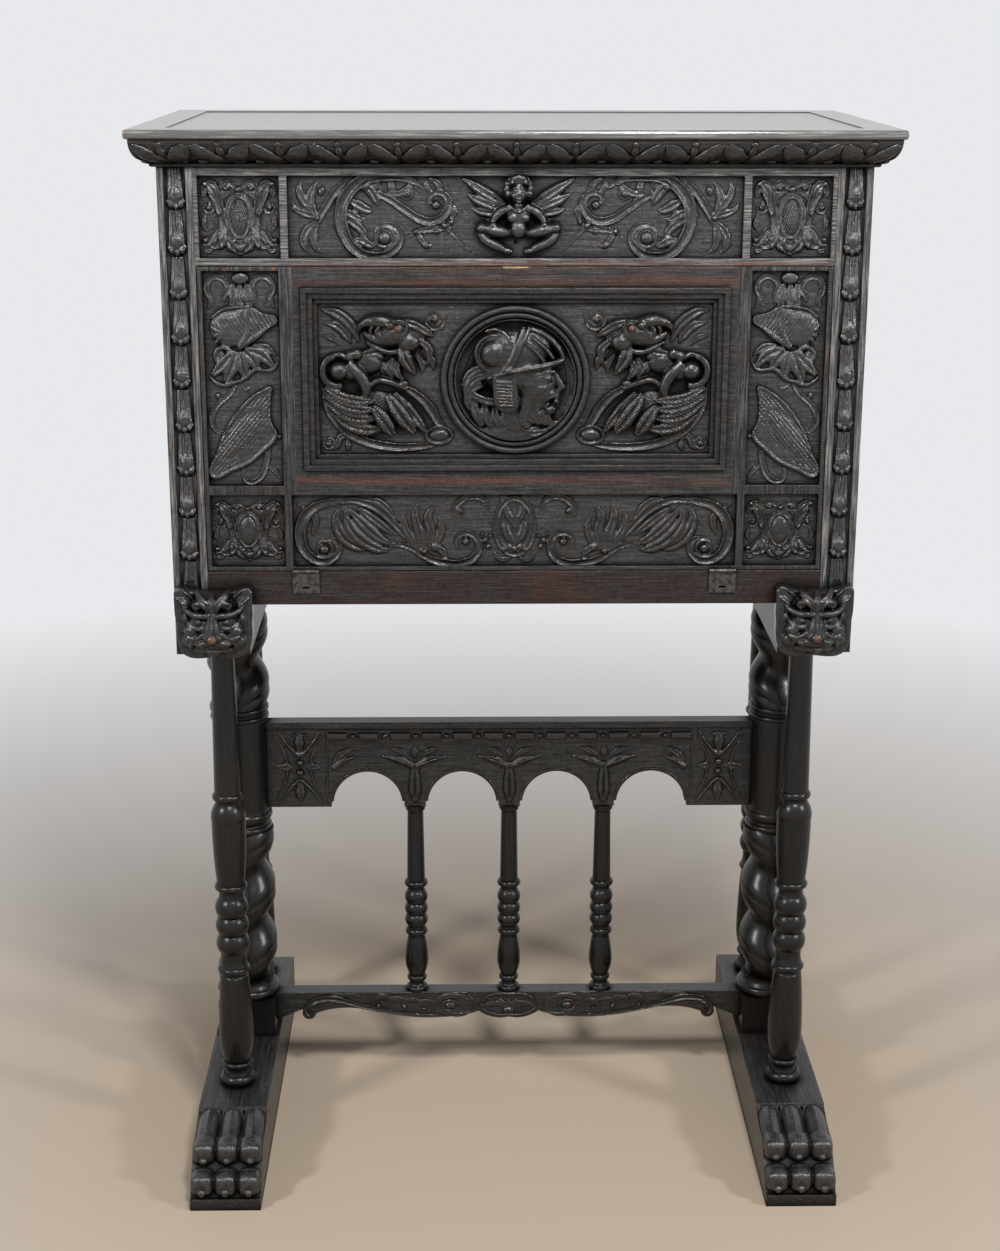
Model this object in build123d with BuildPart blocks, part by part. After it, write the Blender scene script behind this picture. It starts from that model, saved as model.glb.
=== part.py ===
from build123d import *
from math import cos, hypot, pi, sin, sqrt
import os

# Vargueno: a fall-front writing cabinet on a trestle stand.
# Frame: +Z up, floor at z = 0, x = 0 on the middle line, the front towards -Y, and the
# origin midway between the tips of the paws and the heels of the feet. All sizes in mm.

# ---------------------------------------------------------------- driving dimensions
# Cabinet
cabinet_width = 840.0
cabinet_depth = 467.0
cabinet_height = 563.0          # underside of the cabinet to the underside of the top
side_thickness = 22.0
bottom_thickness = 22.0
back_thickness = 18.0
back_board_count = 3
face_thickness = 24.0           # stiles, rails and fall
stile_width = 42.0
bottom_rail_height = 42.2
frieze_rail_height = 147.3
fall_gap = 1.0                  # shadow gap round the fall

# Top and cornice
top_thickness = 11.0
top_overhang = 32.5
top_border = 44.0               # width of the frame round the inset boards
top_board_count = 3
top_board_gap = 0.3
top_sink = 1.0                  # how far the boards lie below the frame
top_nose = 4.4                  # rounding of the top's front edge
top_end_nose = 3.3              # rounding of its ends
cornice_height = 32.6
cornice_foot = 4.0              # projection of the cornice at its lower edge
cornice_bead = 3.0              # radius of the bead along that edge
cornice_swell = 4.5             # bulge of the ovolo above the bead
cornice_fillet = 4.0            # flat above the ovolo
nose_inset = 5.0                # the ovolo stops this far inside the edge of the top

# Husk bands on the stiles
husk_band_width = 25.5
husk_band_inset = 8.0           # plain strip on the outer side of the band
husk_band_depth = 5.0
husk_count = 10
# A husk is a bell between two outlines: half width, then the heights of its lip's lower
# edge, its widest place and its tip, as shares of the pitch.
husk_foot = (9.6, 0.08, 0.36, 1.02)
husk_crest = (5.0, 0.20, 0.40, 0.80)
husk_swell = 2.2                # bulge of the bell's flanks

# Carved panels and the plain strips between them
panel_thickness = 5.0
panel_sink = 6.0                # ground of the carved panels below the face
edge_strip = 5.0
mullion_width = 9.0
side_panel_width = 91.0
upper_frieze_panel_height = 95.6
upper_frieze_panel_base = 8.7   # above the lower edge of the frieze rail
lower_frieze_panel_height = 90.2
frieze_divider = 11.5           # plain strip between lower frieze and side panels

# Centre field of the fall
fall_frame_thickness = 12.0
moulding_width = 19.0
moulding_rise = 5.0             # the moulding stands proud of the face
moulding_steps = ((6.7, 3.0), (13.3, 7.5))      # inset from its outer edge, and fall there
field_stile = 16.5
field_bottom_rail = 31.0
field_top_rail = 24.3
centre_panel_sink = 7.0
medallion_clearance = 0.5       # between the ring and the moulding below it
medallion_roll = 8.0            # width of each of the two rolls of the medallion ring
roll_step = 2.0                 # the inner roll lies this much lower
medallion_rise = 2.0            # the outer roll stands this far proud of the face
medallion_drop = 1.0            # the medallion sits this far below the field's centre
roundel_thickness = 2.0         # sunk ground inside the ring

# Nest of drawers and pigeonholes
nest_setback = 26.0             # drawer fronts behind the inner face of the fall
nest_side = 20.0
shelf_thickness = 8.0
divider_thickness = 12.0
nest_floor_thickness = 24.0
nest_ceiling_thickness = 10.0
nest_ceiling_lap = 2.0          # the ceiling's upper face above the top of the fall
pigeonhole_height = 110.0
lower_drawer_height = 110.0
column_count = 3
drawer_clearance = 0.4
drawer_side_thickness = 7.0
drawer_bottom_thickness = 5.0
drawer_front_thickness = 14.0
drawer_end_gap = 12.0
knob_foot = 5.0
knob_steps = ((5, 4.0, 0), (3, 8.0, 0), (9, 5.0, 2.6), (1, 1.5, 0))

# Hinges, lock
hinge_x = 257.0
hinge_leaf_width = 33.0
hinge_leaf_height = 25.0
hinge_leaf_thickness = 2.0
hinge_barrel_radius = 2.7
hinge_pin_radius = 1.3
hinge_pin_clearance = 0.05
hinge_axis_reach = 3.0          # the pin lies this far in front of the face
hinge_seat_depth = 20.0
hinge_seat_thickness = 1.5
knuckle_gap = 0.3
hinge_slot_length = 9.0
hinge_slot_height = 3.0
hinge_slot_drop = 17.5          # below the upper edge of the leaf
screw_head_radius = 2.4
screw_head_rise = 0.8
screw_pitch = 19.8
screw_drop = 11.3
lock_width = 70.0
lock_height = 78.0
lock_depth = 12.0
keyhole_height = 36.0           # above the lower edge of the frieze rail
keyhole_eye_radius = 3.2
keyhole_slot_width = 3.0
keyhole_slot_length = 10.0
bolt_width = 18.0
bolt_thickness = 6.0
bolt_length = 34.0
bolt_travel = 8.0
bolt_gap = 0.5
bolt_chamfer = 1.0
strike_width = 30.0
strike_thickness = 1.5

# Stand
stand_height = 789.0
foot_width = 91.5
foot_height = 84.0
foot_length = 581.5
paw_reach = 99.0                # tip of the paw in front of the cabinet
paw_rise = 118.0                # length of the carved paw
paw_plinth = 16.0
toe_count = 3
knuckle_radius = 17.0
knuckle_step_back = 30.0        # upper row of knuckles behind and above the lower row
knuckle_step_up = 29.0
knuckle_sink = 2.0              # the lower row is let this far into the plinth
toe_gap = 1.6
toe_end_radius = 10.5           # radius of a knuckle at its two ends
toe_groove_half = 3.0
toe_groove_depth = 5.0
toe_groove_length = 60.0
instep_step = (2.0, 4.0)        # the carved paw starts this far forward and down
instep_hollow = (24.0, 13.0)    # middle of the instep, forward and down
instep_foot = 8.0               # the instep meets the upper knuckles this far off their middle
paw_undercut = 10.0             # the sole under the lower knuckles is set back this far
rail_height = 64.0
rail_cheek = 20.0
rail_floor = 12.0
rail_end_wall = 25.0            # closes the loper's channel at the back
slide_clearance = 0.5
loper_floor_gap = 0.3
loper_rear_gap = 33.0           # between the loper pushed home and the end wall
front_baluster_inset = 89.0
rear_baluster_inset = 33.0
tenon_radius = 9.0
tenon_length = 10.0
peg_radius = 5.0
peg_length = 20.0

# Twisted columns. A turning list runs upwards: rise, end radius, swell of the arc.
column_block = 80.0
column_block_height = 54.0
column_radius = 38.0
twist_radius = 41.0
twist_root_radius = 28.0
twist_lead = 84.0
lower_twist_height = 226.0
lower_twist_phase = -34.0       # bearing of the groove at the foot of the twist
upper_twist_phase = 69.0
column_plain_height = 129.0
column_base_foot = 40.0
column_base_steps = ((14, 40.0, 4.5), (3, 38.5, 0), (9, 38.0, -1.5))
lower_collar_steps = ((9, 37.0, 3.0), (5, 37.0, -1.0), (14, 38.5, 3.5), (3, 38.0, 0))
upper_collar_steps = ((3, 37.5, 0), (8, 37.5, 3.0), (3, 37.5, 0), (10, 37.0, 3.5))
capital_steps = ((4, 38.0, -1.0), (8, 39.0, 3.0))

# Balusters and spindles; the plain shaft above the last step takes up the rest
baluster_foot = 19.0
baluster_steps = (
    (16, 19.0, 5.0), (0, 17.5, 0), (11, 17.5, -1.5), (8, 18.0, 3.0), (0, 17.0, 0),
    (34, 23.0, 1.5), (92, 19.0, 1.0), (5, 17.5, -0.6), (10, 19.0, 3.5), (20, 17.5, -1.2),
    (26, 17.5, 4.7), (26, 17.5, 4.7), (26, 17.5, 4.7), (12, 17.0, -1.0), (10, 18.5, 4.0),
    (88, 22.5, 1.2), (25, 16.5, 3.0), (4, 16.5, 0), (11, 17.6, 3.5),
)
baluster_neck = 15.0
spindle_foot = 13.0
spindle_steps = (
    (8, 12.0, 3.0), (7, 11.0, -1.2), (9, 11.0, 3.0), (21, 16.5, 1.0), (38, 12.2, 1.0),
    (4, 12.2, 0), (10, 12.5, 3.5), (4.5, 13.0, -0.5), (17, 13.0, 3.3), (17.5, 13.0, 3.3),
    (18.5, 13.0, 3.3), (7, 13.0, -1.0), (10, 12.7, 3.8),
)
spindle_neck = 11.2
spindle_capital_steps = ((4, 13.5, -0.6), (7, 14.5, 0))
spindle_tenon_radius = 6.0

# Arcade between the columns
arcade_height = 125.0
arcade_thickness = 20.0
arch_radius = 48.0
arch_pitch = 132.0
arch_count = 4
arch_stilt = 4.0
arch_shoulder = 3.0             # small step at the foot of each impost
arcade_lift = 2.0               # above the lower end of the plain part of the columns
arcade_bead = 9.0
arcade_bead_rise = 2.0
arcade_tenon = 12.0
arcade_tenon_height = 90.0
arcade_tenon_thickness = 10.0

# Stretcher between the column blocks, its top level with theirs
stretcher_thickness = 24.0
stretcher_end_height = 42.0
stretcher_waist_height = 25.0
stretcher_belly_height = 40.0
stretcher_notch_height = 30.5
stretcher_scroll_x = 286.0
stretcher_scroll_half = 8.0
stretcher_tenon_inset = 8.0     # below its upper edge
stretcher_waist_x = 246.0
stretcher_belly_x = 92.0
cartouche_half = 43.0
cartouche_shoulder = (30.0, 2.0)    # beside its middle, and above its lower edge

# Masks on the lopers. Their features are shares of half the width, the height and the depth.
mask_width = 96.0
mask_height = 90.0
mask_depth = 50.0
mask_outline = ((0.0, 0.92), (0.55, 0.96), (1.0, 1.0), (0.97, 0.62), (0.84, 0.24), (0.45, 0.0))
mask_block = 0.5
mask_cheeks = (0.80, 0.40, 0.46)    # half width, half height, height of the middle
mask_muzzle = (0.50, 0.30, 0.42)
mask_muzzle_depth = 0.78
mask_nose = ((0.0, 0.70), (0.70, 0.70), (1.0, 0.38), (0.70, 0.30), (0.0, 0.30))
mask_nose_half = 0.17
mask_brow = (0.45, 0.70)            # middle of a brow
mask_brow_size = (0.66, 0.10)
mask_brow_depth = 0.76
mask_brow_tilt = 18.0
mask_inset = 4.0                # the mask sits this far inside the loper's middle
mask_gap = 1.0                  # between the mask's back and the cabinet's face
mask_tenon = 12.0

# ---------------------------------------------------------------- derived places
front = paw_reach - foot_length / 2
back = front + cabinet_depth
half_width = cabinet_width / 2
face_back = front + face_thickness
cabinet_base = stand_height
cabinet_top = cabinet_base + cabinet_height
opening_half = half_width - stile_width

fall_base = cabinet_base + bottom_rail_height + fall_gap
fall_top = cabinet_top - frieze_rail_height - fall_gap
fall_half = opening_half - fall_gap
hinge_axis_z = fall_base - fall_gap / 2
hinge_axis_y = front - hinge_axis_reach

side_panel_outer = fall_half - edge_strip
side_panel_inner = side_panel_outer - side_panel_width
field_half = side_panel_inner - mullion_width
lower_frieze_base = fall_base + edge_strip
side_panel_base = lower_frieze_base + lower_frieze_panel_height + frieze_divider
side_panel_top = fall_top - edge_strip
moulding_half = field_half - field_stile
moulding_base = lower_frieze_base + lower_frieze_panel_height + field_bottom_rail
moulding_top = fall_top - field_top_rail
centre_half = moulding_half - moulding_width
centre_base = moulding_base + moulding_width
centre_top = moulding_top - moulding_width
medallion_z = (moulding_base + moulding_top) / 2 - medallion_drop
medallion_radius = medallion_z - centre_base - medallion_clearance
panel_front = front + panel_sink
centre_panel_front = front + centre_panel_sink

leg_x = half_width - foot_width / 2
front_baluster_y = front + front_baluster_inset
rear_baluster_y = back - rear_baluster_inset
column_y = (front_baluster_y + rear_baluster_y) / 2
rail_base = stand_height - rail_height
block_top = foot_height + column_block_height
stretcher_top = block_top

os.makedirs("parts", exist_ok=True)
sides = {"left": -1, "right": 1}


# ---------------------------------------------------------------- helpers
def save(piece, node):
    """Label a finished piece and write it as the node's own STEP file."""
    piece.part.label = node
    export_step(piece.part, f"parts/{node}.step")


def board(x, y, z, mode=Mode.ADD):
    """A square-edged board between two values on each axis."""
    with BuildSketch(Plane.XY.offset(min(z))) as outline:
        with Locations((sum(x) / 2, sum(y) / 2)):
            Rectangle(abs(x[1] - x[0]), abs(y[1] - y[0]))
    extrude(outline.sketch, amount=abs(z[1] - z[0]), mode=mode)


def front_plane(y):
    """Sketch plane facing the front, with local x = X and local y = Z."""
    return Plane.XZ.offset(-y)


def side_plane(x):
    """Sketch plane facing +X, with local x = Y and local y = Z."""
    return Plane.YZ.offset(x)


def swelled(start, end, swell):
    """Middle point of an arc between two points that bulges to the right of the run."""
    across = (end[0] - start[0], end[1] - start[1])
    run = hypot(*across)
    return ((start[0] + end[0]) / 2 + across[1] / run * swell,
            (start[1] + end[1]) / 2 - across[0] / run * swell)


def turned_on(axis_plane, steps, foot, mode=Mode.ADD):
    """Turn a profile on the local y axis of a plane, starting at its origin.

    Each step is (rise, end radius, swell): a straight run where the swell is zero, else
    an arc that swells outwards (positive) or hollows inwards (negative) by that much.
    """
    at = (foot, 0.0)
    with BuildSketch(axis_plane) as half:
        with BuildLine():
            Line((0, 0), at)
            for rise, radius, swell in steps:
                end = (radius, at[1] + rise)
                if swell:
                    ThreePointArc(at, swelled(at, end, swell), end)
                else:
                    Line(at, end)
                at = end
            Line(at, (0, at[1]))
            Line((0, at[1]), (0, 0))
        make_face()
    revolve(half.sketch, axis=Axis(axis_plane.origin, axis_plane.y_dir), mode=mode)


def turned(steps, foot, x, y, z, mode=Mode.ADD):
    """Turn a profile on the upright axis through (x, y), upwards from z."""
    turned_on(Plane(origin=(x, y, z), x_dir=(1, 0, 0), z_dir=(0, -1, 0)), steps, foot, mode)


def pin(x, y, z, radius, length, mode=Mode.ADD):
    """An upright round pin or socket, upwards from z."""
    with BuildSketch(Plane.XY.offset(z)) as disc:
        with Locations((x, y)):
            Circle(radius)
    extrude(disc.sketch, amount=length, mode=mode)


def total_rise(steps):
    """Height of a turned profile."""
    return sum(step[0] for step in steps)


# ---------------------------------------------------------------- cabinet carcase
for side, sign in sides.items():
    with BuildPart() as side_board:
        board((sign * (half_width - side_thickness), sign * half_width),
              (face_back, back), (cabinet_base, cabinet_top))
        for peg_y in (front_baluster_y, rear_baluster_y):
            pin(sign * (half_width - side_thickness / 2), peg_y, cabinet_base,
                peg_radius, peg_length / 2, mode=Mode.SUBTRACT)
    save(side_board, f"side_{side}")

inner_half = half_width - side_thickness
with BuildPart() as bottom_board:
    board((-inner_half, inner_half), (face_back, back - back_thickness),
          (cabinet_base, cabinet_base + bottom_thickness))
save(bottom_board, "bottom_board")

with BuildPart() as back_boards:
    back_board_pitch = (cabinet_height + fall_gap) / back_board_count
    for row in range(back_board_count):
        board_base = cabinet_base + row * back_board_pitch
        board((-inner_half, inner_half), (back - back_thickness, back),
              (board_base, board_base + back_board_pitch - fall_gap))
save(back_boards, "back_boards")

band_inner = half_width - husk_band_inset - husk_band_width
band_outer = half_width - husk_band_inset
cornice_base = cabinet_top - cornice_height
husk_pitch = (cornice_base - cabinet_base) / husk_count


def husk_outline(x, z, y, half, lip, widest, tip):
    """Outline of a hanging bell; z is the foot of its link of the chain."""
    top = (x, z + tip * husk_pitch)
    right = (x + half, z + widest * husk_pitch)
    left = (x - half, z + widest * husk_pitch)
    with BuildSketch(front_plane(y)) as outline:
        with BuildLine():
            ThreePointArc(left, swelled(left, top, -husk_swell), top)
            ThreePointArc(top, swelled(top, right, -husk_swell), right)
            ThreePointArc(right, (x, z + lip * husk_pitch), left)
        make_face()
    return outline.sketch.face()


for side, sign in sides.items():
    with BuildPart() as stile:
        board((sign * opening_half, sign * half_width), (front, face_back),
              (cabinet_base, cabinet_top))
        board((sign * band_inner, sign * band_outer), (front, front + husk_band_depth),
              (cabinet_base, cornice_base), mode=Mode.SUBTRACT)
        # Chain of hanging husks, each a bell that widens downwards to a rounded lip.
        husk_x = sign * (band_inner + band_outer) / 2
        for link in range(husk_count):
            link_base = cabinet_base + link * husk_pitch
            loft([husk_outline(husk_x, link_base, front + husk_band_depth, *husk_foot),
                  husk_outline(husk_x, link_base, front, *husk_crest)], ruled=True)
    save(stile, f"stile_{side}")

with BuildPart() as bottom_rail:
    board((-opening_half, opening_half), (front, face_back),
          (cabinet_base, cabinet_base + bottom_rail_height))
save(bottom_rail, "bottom_rail")

# ---------------------------------------------------------------- upper frieze and lock
frieze_rail_base = cabinet_top - frieze_rail_height
upper_panel_z = (frieze_rail_base + upper_frieze_panel_base,
                 frieze_rail_base + upper_frieze_panel_base + upper_frieze_panel_height)
upper_corner_outer = opening_half - edge_strip
upper_corner_inner = upper_corner_outer - upper_frieze_panel_height
upper_centre_half = upper_corner_inner - mullion_width
upper_windows = ((-upper_corner_outer, -upper_corner_inner),
                 (-upper_centre_half, upper_centre_half),
                 (upper_corner_inner, upper_corner_outer))
lock_base = frieze_rail_base
lock_y = (face_back - lock_depth, face_back)
bolt_y = face_back - lock_depth / 2
keyhole_z = frieze_rail_base + keyhole_height


def keyhole(y, reach, mode):
    """Keyhole: a round eye over a slot."""
    with BuildSketch(front_plane(y)) as eye:
        with Locations((0, keyhole_z)):
            Circle(keyhole_eye_radius)
        with Locations((0, keyhole_z - keyhole_slot_length / 2)):
            Rectangle(keyhole_slot_width, keyhole_slot_length)
    extrude(eye.sketch, amount=-reach, mode=mode)


with BuildPart() as frieze_rail:
    board((-opening_half, opening_half), (front, face_back), (frieze_rail_base, cabinet_top))
    for window in upper_windows:
        board(window, (front, panel_front + panel_thickness), upper_panel_z, mode=Mode.SUBTRACT)
    board((-lock_width / 2, lock_width / 2), lock_y, (lock_base, lock_base + lock_height),
          mode=Mode.SUBTRACT)
    keyhole(front, face_thickness, Mode.SUBTRACT)
save(frieze_rail, "frieze_rail")

with BuildPart() as frieze_panels:
    for window in upper_windows:
        board(window, (panel_front, panel_front + panel_thickness), upper_panel_z)
    keyhole(front, face_thickness, Mode.SUBTRACT)
save(frieze_panels, "frieze_panels")

with BuildPart() as lock_case:
    board((-lock_width / 2, lock_width / 2), lock_y, (lock_base, lock_base + lock_height))
    bolt_way = bolt_width / 2 + bolt_gap
    board((-bolt_way, bolt_way),
          (bolt_y - bolt_thickness / 2 - bolt_gap, bolt_y + bolt_thickness / 2 + bolt_gap),
          (lock_base, lock_base + bolt_gap + bolt_length + bolt_gap), mode=Mode.SUBTRACT)
    keyhole(front, face_thickness - lock_depth / 4, Mode.SUBTRACT)
save(lock_case, "lock_case")

with BuildPart() as lock_bolt:
    board((-bolt_width / 2, bolt_width / 2),
          (bolt_y - bolt_thickness / 2, bolt_y + bolt_thickness / 2),
          (lock_base + bolt_gap, lock_base + bolt_gap + bolt_length))
    chamfer(lock_bolt.faces().sort_by(Axis.Z)[0].edges(), length=bolt_chamfer)
    keyhole(front, face_thickness, Mode.SUBTRACT)
save(lock_bolt, "lock_bolt")

# ---------------------------------------------------------------- cornice and top
cornice_reach = top_overhang - nose_inset
mitre_out = half_width + cornice_reach


def cornice_profile(plane):
    """Ovolo over a small bead; local x runs outwards and local y upwards."""
    bead_top = (cornice_foot, 2 * cornice_bead)
    nose = (cornice_reach, cornice_height - cornice_fillet)
    with BuildSketch(plane) as profile:
        with BuildLine():
            Line((0, 0), (cornice_foot, 0))
            ThreePointArc((cornice_foot, 0), (cornice_foot + cornice_bead, cornice_bead), bead_top)
            ThreePointArc(bead_top, swelled(bead_top, nose, cornice_swell), nose)
            Polyline(nose, (cornice_reach, cornice_height), (0, cornice_height), (0, 0))
        make_face()
    return profile.sketch


with BuildPart() as front_length:
    extrude(cornice_profile(Plane(origin=(-mitre_out, front, cornice_base),
                                  x_dir=(0, -1, 0), z_dir=(-1, 0, 0))),
            amount=-2 * mitre_out)
    for sign in sides.values():
        split(bisect_by=Plane(origin=(sign * half_width, front, 0), z_dir=(-sign, -1, 0)),
              keep=Keep.TOP)

side_lengths = []
for sign in sides.values():
    with BuildPart() as side_length:
        extrude(cornice_profile(Plane(origin=(sign * half_width, back, cornice_base),
                                      x_dir=(sign, 0, 0), z_dir=(0, -sign, 0))),
                amount=sign * (cabinet_depth + cornice_reach))
        split(bisect_by=Plane(origin=(sign * half_width, front, 0), z_dir=(sign, 1, 0)),
              keep=Keep.TOP)
    side_lengths.append(side_length.part)

with BuildPart() as cornice:
    add(front_length.part)
    add(side_lengths)
save(cornice, "cornice")

top_half = half_width + top_overhang
top_front = front - top_overhang
top_z = (cabinet_top, cabinet_top + top_thickness)
opening_x = (top_border - top_half, top_half - top_border)
opening_y = (top_front + top_border, back - top_border)
with BuildPart() as top_frame:
    board((-top_half, top_half), (top_front, back), top_z)
    fillet(top_frame.edges().filter_by(Axis.X).group_by(Axis.Y)[0], radius=top_nose)
    for end in (0, -1):
        fillet(top_frame.edges().filter_by(Axis.Y).group_by(Axis.X)[end], radius=top_end_nose)
    board(opening_x, opening_y, top_z, mode=Mode.SUBTRACT)
save(top_frame, "top_frame")

with BuildPart() as top_boards:
    board_pitch = (opening_y[1] - opening_y[0] + top_board_gap) / top_board_count
    for row in range(top_board_count):
        row_front = opening_y[0] + row * board_pitch
        board(opening_x, (row_front, row_front + board_pitch - top_board_gap),
              (cabinet_top, top_z[1] - top_sink))
save(top_boards, "top_boards")

# ---------------------------------------------------------------- fall
frame_back = front + fall_frame_thickness
lower_z = (lower_frieze_base, lower_frieze_base + lower_frieze_panel_height)
side_z = (side_panel_base, side_panel_top)
lower_windows = ((-side_panel_outer, -side_panel_inner), (-field_half, field_half),
                 (side_panel_inner, side_panel_outer))
side_windows = ((-side_panel_outer, -side_panel_inner), (side_panel_inner, side_panel_outer))


def hinge_seats(mode):
    """The upper hinge leaves, let into the lower edge of the fall."""
    for sign in sides.values():
        board((sign * hinge_x - hinge_leaf_width / 2, sign * hinge_x + hinge_leaf_width / 2),
              (front, front + hinge_seat_depth), (fall_base, fall_base + hinge_seat_thickness),
              mode=mode)


def strike_cuts(z):
    """The bolt's mortise, a bolt gap larger than the bolt all round."""
    board((-bolt_width / 2 - bolt_gap, bolt_width / 2 + bolt_gap),
          (bolt_y - bolt_thickness / 2 - bolt_gap, bolt_y + bolt_thickness / 2 + bolt_gap),
          z, mode=Mode.SUBTRACT)


with BuildPart() as fall_board:
    board((-fall_half, fall_half), (frame_back, face_back), (fall_base, fall_top))
    board((-strike_width / 2, strike_width / 2), (frame_back, face_back),
          (fall_top - strike_thickness, fall_top), mode=Mode.SUBTRACT)
    strike_cuts((fall_top - bolt_travel - 2 * bolt_gap - strike_thickness, fall_top))
    hinge_seats(Mode.SUBTRACT)
save(fall_board, "fall_board")

with BuildPart() as fall_frame:
    board((-fall_half, fall_half), (front, frame_back), (fall_base, fall_top))
    for window in lower_windows:
        board(window, (front, frame_back), lower_z, mode=Mode.SUBTRACT)
    for window in side_windows:
        board(window, (front, frame_back), side_z, mode=Mode.SUBTRACT)
    board((-moulding_half, moulding_half), (front, frame_back), (moulding_base, moulding_top),
          mode=Mode.SUBTRACT)
    board((-strike_width / 2, strike_width / 2), (front, frame_back),
          (fall_top - strike_thickness, fall_top), mode=Mode.SUBTRACT)
    hinge_seats(Mode.SUBTRACT)
save(fall_frame, "fall_frame")

with BuildPart() as lower_frieze_panels:
    for window in lower_windows:
        board(window, (panel_front, frame_back), lower_z)
save(lower_frieze_panels, "lower_frieze_panels")

with BuildPart() as side_panels:
    for window in side_windows:
        board(window, (panel_front, frame_back), side_z)
save(side_panels, "side_panels")

with BuildPart() as centre_moulding:
    moulding_front = front - moulding_rise
    board((-moulding_half, moulding_half), (moulding_front, frame_back), (moulding_base, moulding_top))
    # The section falls inwards in steps.
    for inset, fall_back in moulding_steps:
        board((inset - moulding_half, moulding_half - inset),
              (moulding_front, moulding_front + fall_back),
              (moulding_base + inset, moulding_top - inset), mode=Mode.SUBTRACT)
    board((-centre_half, centre_half), (moulding_front, frame_back), (centre_base, centre_top),
          mode=Mode.SUBTRACT)
save(centre_moulding, "centre_moulding")

with BuildPart() as centre_panel:
    board((-centre_half, centre_half), (centre_panel_front, frame_back), (centre_base, centre_top))
save(centre_panel, "centre_panel")

with BuildPart() as medallion:
    # A ring of two rolls round a sunk roundel; local y points out of the panel.
    ring_plane = Plane(origin=(0, centre_panel_front, medallion_z),
                       x_dir=(1, 0, 0), z_dir=(0, 0, -1))
    outer_foot = medallion_radius - medallion_roll
    inner_foot = outer_foot - medallion_roll
    roll_radius = medallion_roll / 2
    outer_roll_z = centre_panel_sink + medallion_rise - roll_radius
    inner_roll_z = outer_roll_z - roll_step
    with BuildSketch(front_plane(centre_panel_front)) as roundel:
        with Locations((0, medallion_z)):
            Circle(inner_foot)
    extrude(roundel.sketch, amount=roundel_thickness)
    with BuildSketch(ring_plane) as ring_section:
        with BuildLine():
            Polyline((inner_foot, inner_roll_z), (inner_foot, 0), (medallion_radius, 0),
                     (medallion_radius, outer_roll_z))
            ThreePointArc((medallion_radius, outer_roll_z),
                          (medallion_radius - roll_radius, outer_roll_z + roll_radius),
                          (outer_foot, outer_roll_z))
            Line((outer_foot, outer_roll_z), (outer_foot, inner_roll_z))
            ThreePointArc((outer_foot, inner_roll_z),
                          (outer_foot - roll_radius, inner_roll_z + roll_radius),
                          (inner_foot, inner_roll_z))
        make_face()
    revolve(ring_section.sketch, axis=Axis((0, 0, medallion_z), (0, 1, 0)))
save(medallion, "medallion")

# ---------------------------------------------------------------- hinges and strike
knuckle_length = hinge_leaf_width / 3


def across_pin(x, radius, length, mode=Mode.ADD):
    """A round bar on the hinge axis, centred at x."""
    with BuildSketch(side_plane(x - length / 2)) as disc:
        with Locations((hinge_axis_y, hinge_axis_z)):
            Circle(radius)
    extrude(disc.sketch, amount=length, mode=mode)


leaf_top = hinge_axis_z - hinge_barrel_radius - 2 * knuckle_gap
with BuildPart() as hinge_lower_leaves:
    for sign in sides.values():
        x = sign * hinge_x
        board((x - hinge_leaf_width / 2, x + hinge_leaf_width / 2),
              (front - hinge_leaf_thickness, front), (leaf_top - hinge_leaf_height, leaf_top))
        with BuildSketch(front_plane(front)) as slot:
            with Locations((x, leaf_top - hinge_slot_drop)):
                SlotOverall(hinge_slot_length, hinge_slot_height)
        extrude(slot.sketch, amount=hinge_leaf_thickness, mode=Mode.SUBTRACT)
        # Two fixed knuckles with webs down to the leaf, and the pin through all three.
        for end in (-1, 1):
            knuckle_x = x + end * knuckle_length
            across_pin(knuckle_x, hinge_barrel_radius, knuckle_length - 2 * knuckle_gap)
            board((knuckle_x - knuckle_length / 2 + knuckle_gap,
                   knuckle_x + knuckle_length / 2 - knuckle_gap),
                  (front - hinge_leaf_thickness, front - knuckle_gap),
                  (leaf_top - knuckle_gap, hinge_axis_z - knuckle_gap))
        across_pin(x, hinge_pin_radius, hinge_leaf_width)
        with BuildSketch(front_plane(front - hinge_leaf_thickness)) as screw_heads:
            with Locations((x - screw_pitch / 2, leaf_top - screw_drop),
                           (x + screw_pitch / 2, leaf_top - screw_drop)):
                Circle(screw_head_radius)
        extrude(screw_heads.sketch, amount=screw_head_rise)
save(hinge_lower_leaves, "hinge_lower_leaves")

with BuildPart() as hinge_upper_leaves:
    hinge_seats(Mode.ADD)
    for sign in sides.values():
        x = sign * hinge_x
        across_pin(x, hinge_barrel_radius, knuckle_length - 2 * knuckle_gap)
        board((x - knuckle_length / 2 + knuckle_gap, x + knuckle_length / 2 - knuckle_gap),
              (hinge_axis_y, front + hinge_leaf_thickness),
              (fall_base, fall_base + hinge_seat_thickness))
        across_pin(x, hinge_pin_radius + hinge_pin_clearance, hinge_leaf_width, mode=Mode.SUBTRACT)
save(hinge_upper_leaves, "hinge_upper_leaves")

with BuildPart() as strike_plate:
    board((-strike_width / 2, strike_width / 2), (front, face_back),
          (fall_top - strike_thickness, fall_top))
    strike_cuts((fall_top - strike_thickness, fall_top))
save(strike_plate, "strike_plate")

# ---------------------------------------------------------------- nest of drawers
nest_front = face_back + nest_setback - drawer_front_thickness / 2
nest_back = back - back_thickness
nest_floor_top = fall_base + nest_floor_thickness
first_shelf = nest_floor_top + pigeonhole_height
second_shelf = first_shelf + shelf_thickness + lower_drawer_height
nest_ceiling = fall_top - nest_ceiling_thickness + nest_ceiling_lap
nest_half = inner_half - nest_side
column_width = (2 * nest_half - (column_count - 1) * divider_thickness) / column_count

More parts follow.
